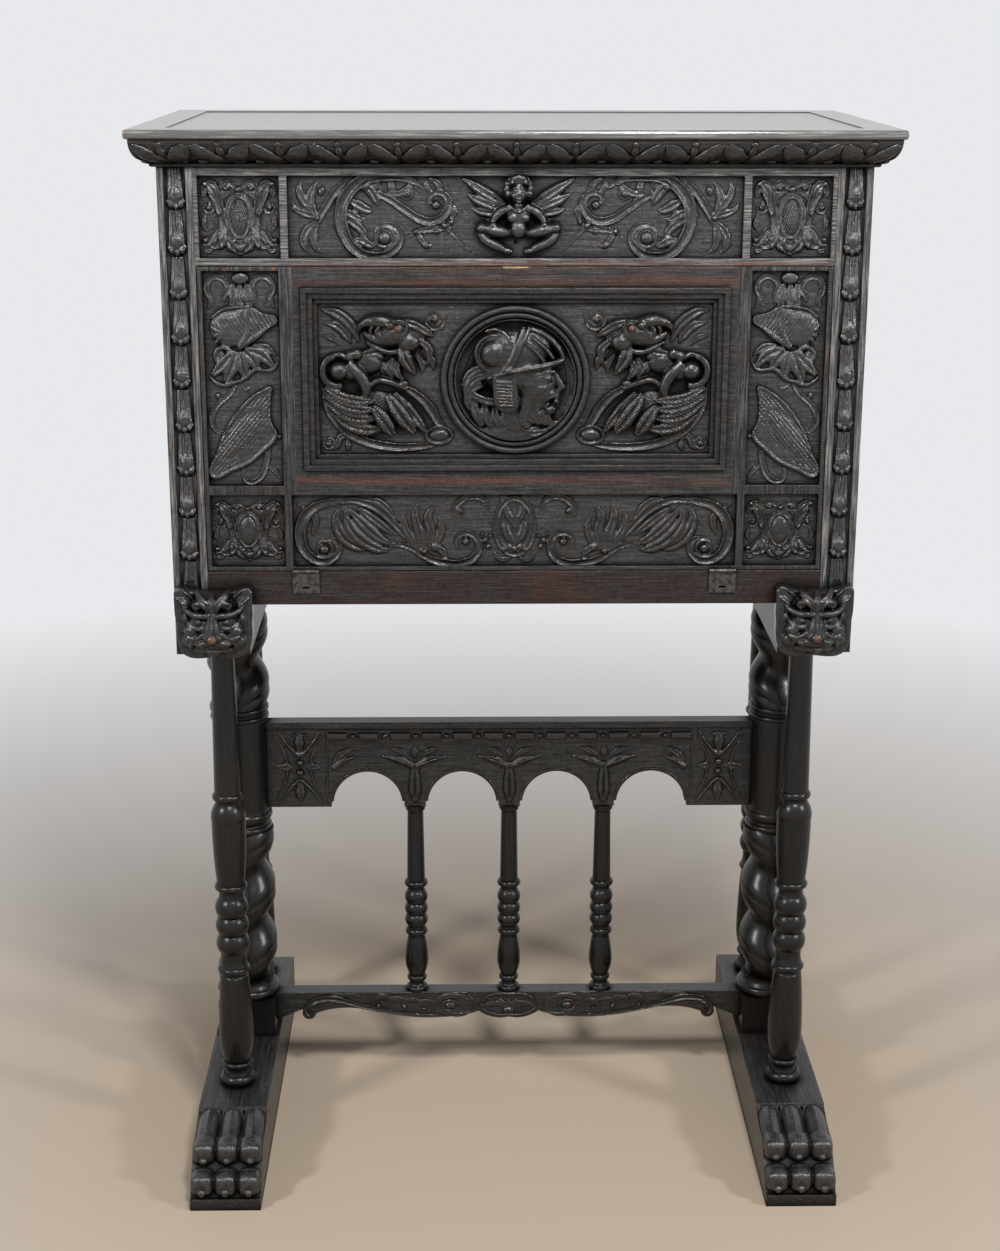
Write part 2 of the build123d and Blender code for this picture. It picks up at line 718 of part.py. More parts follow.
with BuildPart() as nest_shelves:
    board((-inner_half, inner_half), (face_back + fall_gap, nest_back), (fall_base, nest_floor_top))
    for column in range(column_count):
        left = -nest_half + column * (column_width + divider_thickness)
        for shelf_base in (first_shelf, second_shelf):
            board((left, left + column_width), (nest_front, nest_back),
                  (shelf_base, shelf_base + shelf_thickness))
    board((-inner_half, inner_half), (nest_front, nest_back),
          (nest_ceiling, nest_ceiling + nest_ceiling_thickness))
save(nest_shelves, "nest_shelves")

with BuildPart() as nest_dividers:
    for sign in sides.values():
        board((sign * nest_half, sign * inner_half), (nest_front, nest_back),
              (nest_floor_top, nest_ceiling))
    for column in range(1, column_count):
        left = -nest_half + column * (column_width + divider_thickness) - divider_thickness
        board((left, left + divider_thickness), (nest_front, nest_back),
              (nest_floor_top, nest_ceiling))
save(nest_dividers, "nest_dividers")

column_names = ("left", "middle", "right")
rows = {"lower": (first_shelf + shelf_thickness, second_shelf),
        "upper": (second_shelf + shelf_thickness, nest_ceiling)}
for row_name, (row_base, row_top) in rows.items():
    for column, column_name in enumerate(column_names):
        left = -nest_half + column * (column_width + divider_thickness) + drawer_clearance
        right = left + column_width - 2 * drawer_clearance
        base = row_base + drawer_clearance / 2
        top = row_top - 2 * drawer_clearance
        drawer_front = nest_front + drawer_front_thickness
        rear = nest_back - drawer_end_gap
        with BuildPart() as drawer:
            board((left, right), (nest_front, drawer_front), (base, top))
            well_x = (left + drawer_side_thickness, right - drawer_side_thickness)
            for inner, outer in zip(well_x, (left, right)):
                board((inner, outer), (drawer_front, rear), (base, top))
            board(well_x, (rear - drawer_side_thickness, rear), (base, top))
            board(well_x, (drawer_front, rear - drawer_side_thickness),
                  (base, base + drawer_bottom_thickness))
        save(drawer, f"drawer_{row_name}_{column_name}")
        with BuildPart() as knob:
            knob_x = (left + right) / 2
            knob_z = (base + top) / 2
            turned_on(Plane(origin=(knob_x, nest_front, knob_z), x_dir=(1, 0, 0), z_dir=(0, 0, -1)),
                      knob_steps, knob_foot)
        save(knob, f"knob_{row_name}_{column_name}")

# ---------------------------------------------------------------- feet
heel = front - paw_reach + foot_length
tip = front - paw_reach
paw_top = tip + paw_rise
lower_knuckle = (tip + knuckle_radius, paw_plinth + knuckle_radius - knuckle_sink)
upper_knuckle = (lower_knuckle[0] + knuckle_step_back, lower_knuckle[1] + knuckle_step_up)
toe_pitch = foot_width / toe_count


def toe_knuckle(x, centre):
    """One barrel-shaped knuckle, its axis across the foot."""
    half = (toe_pitch - toe_gap) / 2
    with BuildSketch(Plane(origin=(x, *centre), x_dir=(1, 0, 0), z_dir=(0, -1, 0))) as barrel:
        with BuildLine():
            Line((-half, 0), (-half, toe_end_radius))
            ThreePointArc((-half, toe_end_radius), (0, knuckle_radius), (half, toe_end_radius))
            Polyline((half, toe_end_radius), (half, 0), (-half, 0))
        make_face()
    revolve(barrel.sketch, axis=Axis((x, *centre), (1, 0, 0)))


instep_top = (paw_top - instep_step[0], foot_height - instep_step[1])
instep_middle = (paw_top - instep_hollow[0], foot_height - instep_hollow[1])
instep_end = (upper_knuckle[0] + instep_foot, upper_knuckle[1] + instep_foot)
sole_front = (lower_knuckle[0] - paw_undercut, paw_plinth)
for side, sign in sides.items():
    with BuildPart() as foot:
        with BuildSketch(side_plane(sign * leg_x - foot_width / 2)) as foot_side:
            with BuildLine():
                Polyline((tip, paw_plinth), (tip, 0), (heel, 0), (heel, foot_height),
                         (paw_top, foot_height), instep_top)
                ThreePointArc(instep_top, instep_middle, instep_end)
                Polyline(instep_end, lower_knuckle, sole_front, (tip, paw_plinth))
            make_face()
        extrude(foot_side.sketch, amount=foot_width)
        for toe in range(toe_count):
            toe_x = sign * leg_x + (toe - (toe_count - 1) / 2) * toe_pitch
            toe_knuckle(toe_x, lower_knuckle)
            toe_knuckle(toe_x, upper_knuckle)
        # Grooves between the toes run up the sloping instep.
        for gap in range(1, toe_count):
            gap_x = sign * leg_x - foot_width / 2 + gap * toe_pitch
            with BuildSketch(Plane(origin=(gap_x, *instep_top), x_dir=(1, 0, 0),
                                   z_dir=(0, -1, 0))) as groove:
                Polygon((-toe_groove_half, instep_step[1]), (toe_groove_half, instep_step[1]),
                        (0, -toe_groove_depth), align=None)
            extrude(groove.sketch, amount=toe_groove_length, mode=Mode.SUBTRACT)
        for y in (front_baluster_y, rear_baluster_y):
            pin(sign * leg_x, y, foot_height - tenon_length, tenon_radius, tenon_length,
                mode=Mode.SUBTRACT)
        pin(sign * leg_x, column_y, foot_height - tenon_length, 2 * tenon_radius, tenon_length,
            mode=Mode.SUBTRACT)
    save(foot, f"foot_{side}")

# ---------------------------------------------------------------- rails and lopers
channel_half = foot_width / 2 - rail_cheek
channel_floor = rail_base + rail_floor
for side, sign in sides.items():
    x = sign * leg_x
    with BuildPart() as top_rail:
        board((x - foot_width / 2, x + foot_width / 2), (front, back), (rail_base, stand_height))
        board((x - channel_half, x + channel_half), (front, back - rail_end_wall),
              (channel_floor, stand_height), mode=Mode.SUBTRACT)
        for y in (front_baluster_y, rear_baluster_y):
            pin(x, y, rail_base, tenon_radius, tenon_length, mode=Mode.SUBTRACT)
            pin(sign * (half_width - side_thickness / 2), y, stand_height - peg_length / 2,
                peg_radius, peg_length / 2, mode=Mode.SUBTRACT)
        pin(x, column_y, rail_base, 2 * tenon_radius, tenon_length, mode=Mode.SUBTRACT)
    save(top_rail, f"top_rail_{side}")

    mask_back = front - mask_gap
    loper_half = channel_half - slide_clearance
    loper_length = cabinet_depth + mask_gap - rail_end_wall - loper_rear_gap
    loper_z = (channel_floor + loper_floor_gap, stand_height - slide_clearance)
    mask_mortise = ((x - loper_half / 2, x + loper_half / 2), (mask_back - mask_tenon, mask_back),
                    (loper_z[0] + mask_tenon, loper_z[1] - mask_tenon))
    with BuildPart() as loper:
        board((x - loper_half, x + loper_half), (mask_back, mask_back + loper_length), loper_z)
        board(*mask_mortise)
    save(loper, f"loper_{side}")

    mask_x = x - sign * mask_inset
    half = mask_width / 2
    right_edge = [(mask_x + out * half, rail_base + up * mask_height) for out, up in mask_outline]
    left_edge = [(2 * mask_x - edge_x, edge_z) for edge_x, edge_z in reversed(right_edge)]
    with BuildPart() as mask:
        # Head block with two pointed ears, then cheeks, muzzle, nose and brows.
        with BuildSketch(front_plane(mask_back)) as head:
            with BuildLine():
                Polyline(*right_edge, *left_edge)
            make_face()
        extrude(head.sketch, amount=mask_depth * mask_block)
        swells = []
        for (wide, tall, up), reach in ((mask_cheeks, mask_block), (mask_muzzle, mask_muzzle_depth)):
            with BuildSketch(front_plane(mask_back - mask_depth * reach)) as swell:
                with Locations((mask_x, rail_base + mask_height * up)):
                    Ellipse(half * wide, mask_height * tall)
            swells.append(swell.sketch.face())
        loft(swells, ruled=True)
        with BuildSketch(side_plane(mask_x - half * mask_nose_half)) as nose:
            Polygon(*[(mask_back - reach * mask_depth, rail_base + up * mask_height)
                      for reach, up in mask_nose], align=None)
        extrude(nose.sketch, amount=2 * half * mask_nose_half)
        for hand in (-1, 1):
            with BuildSketch(front_plane(mask_back)) as brow:
                with Locations((mask_x + hand * half * mask_brow[0],
                                rail_base + mask_height * mask_brow[1])):
                    Rectangle(half * mask_brow_size[0], mask_height * mask_brow_size[1],
                              rotation=hand * mask_brow_tilt)
            extrude(brow.sketch, amount=mask_depth * mask_brow_depth)
        board(*mask_mortise, mode=Mode.SUBTRACT)
    save(mask, f"mask_{side}")

with BuildPart() as locating_pegs:
    for sign in sides.values():
        for y in (front_baluster_y, rear_baluster_y):
            pin(sign * (half_width - side_thickness / 2), y, stand_height - peg_length / 2,
                peg_radius, peg_length)
save(locating_pegs, "locating_pegs")

# ---------------------------------------------------------------- twisted columns
lower_twist_base = block_top + total_rise(column_base_steps)
plain_base = lower_twist_base + lower_twist_height + total_rise(lower_collar_steps)
plain_top = plain_base + column_plain_height
upper_twist_base = plain_top + total_rise(upper_collar_steps)
upper_twist_height = rail_base - total_rise(capital_steps) - upper_twist_base
lobe_height = twist_radius - twist_root_radius
lobe_radius = ((twist_lead / 2) ** 2 + lobe_height ** 2) / (2 * lobe_height)
arcade_base = plain_base + arcade_lift
arcade_middle = arcade_base + arcade_height / 2
tenon_y = (column_y - arcade_tenon_thickness / 2, column_y + arcade_tenon_thickness / 2)
arcade_tenon_z = (arcade_middle - arcade_tenon_height / 2, arcade_middle + arcade_tenon_height / 2)
stretcher_tenon_z = (stretcher_top - stretcher_waist_height, stretcher_top - stretcher_tenon_inset)


def twist_reach(share):
    """Radius of the twisted strand; share runs from 0 on the ridge to 1 in the groove."""
    return twist_radius - lobe_radius + sqrt(lobe_radius ** 2 - (share * twist_lead / 2) ** 2)


def twisted(sign, base, height, phase):
    """One strand wound round the column's axis, right-handed where sign is -1."""
    groove = phase if sign < 0 else 180 - phase
    with BuildSketch(Plane.XY.offset(base)) as section:
        with BuildLine():
            # Groove, flank and ridge: half the section on either side of the groove.
            for way in (-1, 1):
                points = []
                for share in (1.0, 0.5, 0.0):
                    bearing = (groove + 180 * (1 - way * share)) * pi / 180
                    points.append((sign * leg_x + twist_reach(share) * cos(bearing),
                                   column_y + twist_reach(share) * sin(bearing)))
                ThreePointArc(*points)
        make_face()
    strand = Solid.extrude_linear_with_rotation(
        section.sketch.face(), (sign * leg_x, column_y, base), (0, 0, height),
        -sign * 360 * height / twist_lead)
    add(strand)


for side, sign in sides.items():
    x = sign * leg_x
    with BuildPart() as column:
        board((x - column_block / 2, x + column_block / 2),
              (column_y - column_block / 2, column_y + column_block / 2), (foot_height, block_top))
        turned(column_base_steps, column_base_foot, x, column_y, block_top)
        twisted(sign, lower_twist_base, lower_twist_height, lower_twist_phase)
        middle_steps = lower_collar_steps + ((column_plain_height, column_radius, 0),)
        turned(middle_steps + upper_collar_steps, column_radius, x, column_y,
               lower_twist_base + lower_twist_height)
        twisted(sign, upper_twist_base, upper_twist_height, upper_twist_phase)
        turned(capital_steps, column_radius, x, column_y, upper_twist_base + upper_twist_height)
        pin(x, column_y, foot_height - tenon_length, 2 * tenon_radius, tenon_length)
        pin(x, column_y, rail_base, 2 * tenon_radius, tenon_length)
        board((x - sign * column_radius, x - sign * (column_radius - arcade_tenon)),
              tenon_y, arcade_tenon_z, mode=Mode.SUBTRACT)
        block_face = x - sign * column_block / 2
        board((block_face, block_face + sign * arcade_tenon), tenon_y, stretcher_tenon_z,
              mode=Mode.SUBTRACT)
    save(column, f"column_{side}")

# ---------------------------------------------------------------- balusters and spindles
baluster_places = {"front": front_baluster_y, "rear": rear_baluster_y}
for place, y in baluster_places.items():
    for side, sign in sides.items():
        x = sign * leg_x
        shaft = rail_base - foot_height - total_rise(baluster_steps)
        with BuildPart() as baluster:
            turned(baluster_steps + ((shaft, baluster_neck, 0),), baluster_foot, x, y, foot_height)
            pin(x, y, foot_height - tenon_length, tenon_radius, tenon_length)
            pin(x, y, rail_base, tenon_radius, tenon_length)
        save(baluster, f"baluster_{place}_{side}")

spindle_count = arch_count - 1
for index in range(spindle_count):
    x = (index - (spindle_count - 1) / 2) * arch_pitch
    shaft = arcade_base - stretcher_top - total_rise(spindle_steps + spindle_capital_steps)
    with BuildPart() as spindle:
        turned(spindle_steps + ((shaft, spindle_neck, 0),) + spindle_capital_steps, spindle_foot,
               x, column_y, stretcher_top)
        pin(x, column_y, stretcher_top - tenon_length, spindle_tenon_radius, tenon_length)
        pin(x, column_y, arcade_base, spindle_tenon_radius, tenon_length)
    save(spindle, f"spindle_{index + 1}")

# ---------------------------------------------------------------- arcade and stretcher
column_face = leg_x - column_radius
with BuildPart() as arcade:
    with BuildSketch(front_plane(column_y + arcade_thickness / 2)) as arches:
        with Locations((0, arcade_base + arcade_height / 2)):
            Rectangle(2 * leg_x, arcade_height)
        for index in range(arch_count):
            arch_x = (index - (arch_count - 1) / 2) * arch_pitch
            with Locations((arch_x, arcade_base + arch_stilt)):
                Circle(arch_radius, mode=Mode.SUBTRACT)
                Rectangle(2 * (arch_radius + arch_shoulder), 2 * arch_stilt, mode=Mode.SUBTRACT)
    extrude(arches.sketch, amount=arcade_thickness)
    board((-leg_x, leg_x),
          (column_y - arcade_thickness / 2 - arcade_bead_rise,
           column_y + arcade_thickness / 2 + arcade_bead_rise),
          (arcade_base + arcade_height - arcade_bead, arcade_base + arcade_height))
    for sign in sides.values():
        # The ends are scribed to the round columns, with a tenon at the middle.
        pin(sign * leg_x, column_y, arcade_base, column_radius, arcade_height, mode=Mode.SUBTRACT)
        board((sign * (column_face - arcade_tenon), sign * (column_face + arcade_tenon)),
              tenon_y, arcade_tenon_z)
    for index in range(spindle_count):
        x = (index - (spindle_count - 1) / 2) * arch_pitch
        pin(x, column_y, arcade_base, spindle_tenon_radius, tenon_length, mode=Mode.SUBTRACT)
save(arcade, "arcade")

with BuildPart() as stretcher:
    end_x = leg_x - column_block / 2
    end_z = stretcher_top - stretcher_end_height
    waist_z = stretcher_top - stretcher_waist_height
    belly_z = stretcher_top - stretcher_belly_height
    notch_z = stretcher_top - stretcher_notch_height
    with BuildSketch(front_plane(column_y + stretcher_thickness / 2)) as stretcher_outline:
        for sign in sides.values():
            scroll_x = sign * stretcher_scroll_x
            scroll_out = (sign * (stretcher_scroll_x + stretcher_scroll_half), waist_z)
            scroll_in = (sign * (stretcher_scroll_x - stretcher_scroll_half),
                         waist_z - stretcher_scroll_half)
            notch = (sign * cartouche_half, notch_z)
            with BuildLine():
                Polyline((0, belly_z), (0, stretcher_top), (sign * end_x, stretcher_top),
                         (sign * end_x, end_z), scroll_out)
                ThreePointArc(scroll_out, (scroll_x, end_z), scroll_in)
                Spline(scroll_in, (sign * stretcher_waist_x, waist_z),
                       (sign * (stretcher_waist_x + stretcher_belly_x) / 2, (waist_z + belly_z) / 2),
                       (sign * stretcher_belly_x, belly_z), notch)
                ThreePointArc(notch, (sign * cartouche_shoulder[0], belly_z + cartouche_shoulder[1]),
                              (0, belly_z))
            make_face()
    extrude(stretcher_outline.sketch, amount=stretcher_thickness)
    for sign in sides.values():
        board((sign * end_x, sign * (end_x + arcade_tenon)), tenon_y, stretcher_tenon_z)
    for index in range(spindle_count):
        x = (index - (spindle_count - 1) / 2) * arch_pitch
        pin(x, column_y, stretcher_top - tenon_length, spindle_tenon_radius, tenon_length,
            mode=Mode.SUBTRACT)
save(stretcher, "stretcher")
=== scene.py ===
from math import cos, exp, hypot, pi, radians, sin
import bpy
from mathutils import Matrix, Vector


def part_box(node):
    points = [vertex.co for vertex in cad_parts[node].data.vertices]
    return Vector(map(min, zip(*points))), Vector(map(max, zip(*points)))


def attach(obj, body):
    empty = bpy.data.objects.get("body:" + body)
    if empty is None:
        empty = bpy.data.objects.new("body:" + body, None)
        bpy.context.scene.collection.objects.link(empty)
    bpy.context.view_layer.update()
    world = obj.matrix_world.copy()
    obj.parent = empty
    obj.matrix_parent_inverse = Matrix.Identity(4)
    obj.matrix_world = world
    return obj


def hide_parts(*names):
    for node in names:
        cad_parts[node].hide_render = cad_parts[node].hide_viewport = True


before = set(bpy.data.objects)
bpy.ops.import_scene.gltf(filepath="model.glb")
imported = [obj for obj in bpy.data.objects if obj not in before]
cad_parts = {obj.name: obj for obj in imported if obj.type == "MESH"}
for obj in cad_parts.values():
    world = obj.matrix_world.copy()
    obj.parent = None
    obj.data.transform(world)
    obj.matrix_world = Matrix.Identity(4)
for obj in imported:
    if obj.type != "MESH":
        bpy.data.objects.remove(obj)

bpy.ops.object.select_all(action="DESELECT")
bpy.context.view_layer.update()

# Fall-front cabinet on a trestle stand. Carvings are worked flat on a bench in
# millimetres (x across, y up the panel, z out of the wood) and then set in place.
MM = 0.001
face_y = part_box("stile_left")[0].y / MM         # plane of the cabinet's front
ground_depth = 6.0                              # carved grounds lie this far in
centre_depth = 7.0                              # ground of the middle panel


# ------------------------------------------------------------------ materials
# Colours of the stain, of worn and bare wood, and of open grain; linear.
near_black = (0.0072, 0.0074, 0.0070)
# deep_black is partly painted shade: the darker stain of carvings that get less light.
deep_black = (0.0062, 0.0062, 0.0058)
dry_black = (0.024, 0.0238, 0.023)
rubbed_brown = (0.090, 0.028, 0.013)
bare_chip = (0.34, 0.12, 0.042)
dull_chip = (0.19, 0.055, 0.022)
dry_grain = (0.062, 0.059, 0.055)
strip_grain = (0.075, 0.073, 0.070)
upright_grain = (0.16, 0.157, 0.15)
silver_grain = (0.25, 0.245, 0.234)

# How the wood wears, in metres.
edge_reach = 0.0022                             # how far an edge is rubbed
hollow_reach = 0.018                            # walls nearer than this make a hollow, which gets painted shade
grain_relief = 0.0009
upright_pale_from = (0.96, 1.0)                 # heights where upright grain starts to pale, and is
notched_strip = 0.3735                          # middle of the cross-cut strips beside the stiles
notch_half = (0.0030, 0.0042)                   # half width of a strip, and where it has faded
notch_pitch = 0.0034


def node_of(tree, kind, inputs=(), **settings):
    """Adds a shader node, gives its settings, and fills or links its inputs."""
    made = tree.nodes.new("ShaderNode" + kind)
    for key, value in settings.items():
        setattr(made, key, value)
    for key, value in dict(inputs).items():
        if isinstance(value, bpy.types.NodeSocket):
            tree.links.new(value, made.inputs[key])
        else:
            made.inputs[key].default_value = value
    return made


def ramp_of(tree, source, *stops):
    """A colour ramp: each stop is (place, grey or colour)."""
    ramp = node_of(tree, "ValToRGB", {"Fac": source})
    band = ramp.color_ramp
    while len(band.elements) < len(stops):
        band.elements.new(0.5)
    for element, (place, colour) in zip(band.elements, stops):
        element.position = place
        element.color = (*colour, 1) if isinstance(colour, tuple) else (colour, colour, colour, 1)
    return ramp.outputs["Color"]


def blend_of(tree, fac, a, b):
    """Mixes two colours."""
    mix = node_of(tree, "Mix", data_type="RGBA")
    for key, value in ((0, fac), (6, a), (7, b)):
        if isinstance(value, bpy.types.NodeSocket):
            tree.links.new(value, mix.inputs[key])
        else:
            mix.inputs[key].default_value = (*value, 1) if isinstance(value, tuple) else value
    return mix.outputs[2]


def figure_of(tree, operation, a, b=0.0, c=0.0, clamp=False):
    """One sum on two or three values."""
    made = node_of(tree, "Math", {0: a, 1: b, 2: c}, operation=operation, use_clamp=clamp)
    return made.outputs[0]


def product_of(tree, first, *others):
    """Values multiplied together."""
    for other in others:
        first = figure_of(tree, "MULTIPLY", first, other)
    return first


def total_of(tree, first, *others):
    """Values added together."""
    for other in others:
        first = figure_of(tree, "ADD", first, other)
    return first


def speckle(tree, source, scale, detail, roughness=0.6):
    """Noise at one scale."""
    return node_of(tree, "TexNoise", {"Vector": source, "Scale": scale, "Detail": detail,
                                      "Roughness": roughness}).outputs["Fac"]


grain_stretch = {"X": (0.04, 1, 1), "Y": (1, 0.04, 1), "Z": (1, 1, 0.04)}


def along_grain(tree, place, axis):
    """Places drawn out along the grain."""
    return node_of(tree, "Mapping", {"Vector": place, "Scale": grain_stretch[axis]}).outputs[0]


def worn_shape(tree, ridged, in_round, turned):
    """Masks of the rubbed edges and of the flanks, dulled and given painted shade, and the normal under the
    grain.
    """
    plain = node_of(tree, "NewGeometry").outputs
    if not ridged:
        # An edge is where the rounded normal leans away from the flat one.
        eased = node_of(tree, "Bevel", {"Radius": edge_reach}, samples=4).outputs["Normal"]
        lean = node_of(tree, "VectorMath", {0: plain["Normal"], 1: eased}, operation="DOT_PRODUCT")
        away = figure_of(tree, "SUBTRACT", 1.0, lean.outputs["Value"])
        return ramp_of(tree, away, (0.01, 0.0), (0.12, 1.0)), 0.0, plain["Normal"] if turned else eased
    ridge = ramp_of(tree, plain["Pointiness"], (0.51, 0.0), (0.56, 1.0))
    if in_round:
        return ridge, 0.0, plain["Normal"]
    # Wax is rubbed on the crowns, so the steep sides of the carving stay dull; cutting their reflection is
    # also painted shade.
    facing = node_of(tree, "SeparateXYZ", {0: node_of(tree, "TexCoord").outputs["Normal"]}).outputs["Y"]
    flank = ramp_of(tree, figure_of(tree, "ABSOLUTE", facing), (0.40, 1.0), (0.86, 0.0))
    return ridge, flank, plain["Normal"]


def height_band(tree, height, middle, half):
    """Mask of a band of height, fading towards its borders."""
    off = figure_of(tree, "ABSOLUTE", figure_of(tree, "SUBTRACT", height, middle))
    return ramp_of(tree, figure_of(tree, "DIVIDE", off, half), (0.3, 1.0), (1.0, 0.0))


def notch_teeth(tree, across, height):
    """Mask of the short cross cuts in the upright strips."""
    off = figure_of(tree, "ABSOLUTE", figure_of(tree, "SUBTRACT", across, notched_strip))
    strip = ramp_of(tree, off, (notch_half[0], 1.0), (notch_half[1], 0.0))
    wave = figure_of(tree, "SINE", product_of(tree, height, 2 * pi / notch_pitch))
    return product_of(tree, ramp_of(tree, wave, (0.0, 0.0), (0.5, 1.0)), strip)


def bare_spots(tree, colour, sides, raggedness, spots, warm, chip):
    """Lays bare places (x, z, reach) over a colour, seen from the front."""
    flat = node_of(tree, "CombineXYZ", {"X": sides["X"], "Y": 0.0, "Z": sides["Z"]}).outputs[0]
    for x, z, reach in spots:
        near = node_of(tree, "VectorMath", {0: flat, 1: (x, 0, z)}, operation="DISTANCE").outputs["Value"]
        near = total_of(tree, figure_of(tree, "DIVIDE", near, reach * 2.5),
                        product_of(tree, raggedness, 0.5))
        colour = blend_of(tree, ramp_of(tree, near, (0.55, 0.85), (0.80, 0.0)), colour, warm)
        colour = blend_of(tree, ramp_of(tree, near, (0.50, 0.8), (0.66, 0.0)), colour, chip)
    return colour


def stained_wood(name, along, dark=near_black, warm=rubbed_brown, chip=bare_chip, wear=0.5, warmth=0.5,
                 rough=0.36, grain=0.5, dry=0.5, pale=dry_grain, tooled=0.0, sheen=0.5, ridged=False,
                 in_round=False, turned=False, notched=False, rubbed=(), spots=(), upright_beyond=0.0):
    """Dark stained, waxed wood with open grain, rubbed edges and painted shade in the hollows.

    dark, warm, chip and pale are the stain, the rubbed wood, the bare wood and the open
    grain; warmth, wear and dry are how much of the last three shows. tooled is how far the
    surface keeps the marks of gouge and wear, and sheen is how strongly the wax reflects.
    Ridged wood is rubbed bright on its ridges; wood carved in the round has no flanks;
    turned wood is smooth; notched wood has a strip of short cross cuts at each end.
    rubbed lists bands of height (middle, half) worn to red brown, spots are bare places
    (x, z, reach), and upright_beyond is how far from the middle the grain turns upright.
    """
    material = bpy.data.materials.new(name)
    material.use_nodes = True
    tree = material.node_tree
    shader = tree.nodes["Principled BSDF"]
    place = node_of(tree, "TexCoord").outputs["Object"]
    sides = node_of(tree, "SeparateXYZ", {0: place}).outputs
    across = figure_of(tree, "ABSOLUTE", sides["X"])
    run = along_grain(tree, place, along)
    if upright_beyond:
        upright = figure_of(tree, "GREATER_THAN", across, upright_beyond)
        run = blend_of(tree, upright, run, along_grain(tree, place, "Z"))
    streaks, pores = speckle(tree, run, 470, 6, 0.7), speckle(tree, run, 1300, 3, 0.7)
    clouds, scuffs = speckle(tree, place, 6, 4), speckle(tree, place, 45, 5, 0.65)
    marks = speckle(tree, place, 210, 3)
    edge, flank, normal = worn_shape(tree, ridged, in_round, turned)
    hollow = node_of(tree, "AmbientOcclusion", {"Distance": hollow_reach}, samples=8).outputs["AO"]
    hollow = ramp_of(tree, hollow, (0.46, 1.0), (0.93, 0.0))

    # Stain, open grain, patches, rubbed bands, worn edges, painted shade in the hollows and bare spots.
    if upright_beyond:
        high = ramp_of(tree, sides["Z"], (upright_pale_from[0], 0.0), (upright_pale_from[1], 1.0))
        pale = blend_of(tree, product_of(tree, upright, high), pale, upright_grain)
    open_grain = ramp_of(tree, streaks, (0.47, 0.0), (0.66, 1.0))
    colour = blend_of(tree, product_of(tree, open_grain, dry), dark, pale)
    patch = ramp_of(tree, clouds, (0.52, 0.0), (0.74, 1.0))
    colour = blend_of(tree, product_of(tree, patch, warmth), colour, warm)
    for middle, half in rubbed:
        band = height_band(tree, sides["Z"], middle, half)
        if upright_beyond:
            band = product_of(tree, band, figure_of(tree, "LESS_THAN", across, upright_beyond))
        long_streaks = ramp_of(tree, speckle(tree, run, 60, 5), (0.42, 0.0), (0.60, 1.0))
        colour = blend_of(tree, product_of(tree, band, long_streaks, 0.85), colour, warm)
    worn = product_of(tree, edge, ramp_of(tree, scuffs, (0.45, 0.0), (0.62, 1.0)))
    colour = blend_of(tree, product_of(tree, worn, wear), colour, warm)
    chipped = product_of(tree, edge, ramp_of(tree, scuffs, (0.65, 0.0), (0.69, 1.0)))
    colour = blend_of(tree, product_of(tree, chipped, wear), colour, chip)
    # Painted shade: the colour darkens towards a third of the stain where the AO node finds near walls.
    colour = blend_of(tree, product_of(tree, hollow, 0.8), colour, tuple(c * 0.3 for c in dark))
    colour = bare_spots(tree, colour, sides, total_of(tree, scuffs, marks), spots, warm, chip)

    # Satin where it is handled, dull where it is not; taking reflection out of the hollows and the steep
    # flanks is painted shade.
    gloss = figure_of(tree, "MULTIPLY_ADD", marks, 0.10 + 0.3 * tooled, rough - 0.05 - 0.15 * tooled)
    gloss = total_of(tree, gloss, product_of(tree, hollow, 0.3))
    gloss = figure_of(tree, "SUBTRACT", gloss, product_of(tree, edge, 0.12), clamp=True)
    tree.links.new(gloss, shader.inputs["Roughness"])
    wax = sheen
    if not turned:
        wax = figure_of(tree, "MULTIPLY_ADD", total_of(tree, marks, streaks), 1.6 * sheen, -0.6 * sheen)
        wax = figure_of(tree, "MAXIMUM", wax, 0.1)
    # Painted shade: the hollows, and in part the flanks, lose most of their reflection.
    dull_and_shaded = figure_of(tree, "MAXIMUM", product_of(tree, flank, 0.85), hollow)
    reflection_kept = figure_of(tree, "MULTIPLY_ADD", dull_and_shaded, -0.92, 1.0)
    tree.links.new(product_of(tree, reflection_kept, wax), shader.inputs["Specular IOR Level"])

    # Pores, scuffs, streaks and gouge marks stand in low relief.
    relief = total_of(tree, product_of(tree, pores, 0.5), product_of(tree, scuffs, 0.35),
                      product_of(tree, streaks, 0.8), product_of(tree, marks, 1.4 * tooled))
    if notched:
        teeth = notch_teeth(tree, across, sides["Z"])
        relief = total_of(tree, relief, product_of(tree, teeth, 2.2))
        colour = blend_of(tree, product_of(tree, teeth, 0.5), colour, dry_grain)
    tree.links.new(colour, shader.inputs["Base Color"])
    bump = node_of(tree, "Bump", {"Strength": grain, "Distance": grain_relief, "Height": relief,
                                  "Normal": normal})
    tree.links.new(bump.outputs[0], shader.inputs["Normal"])
    return material


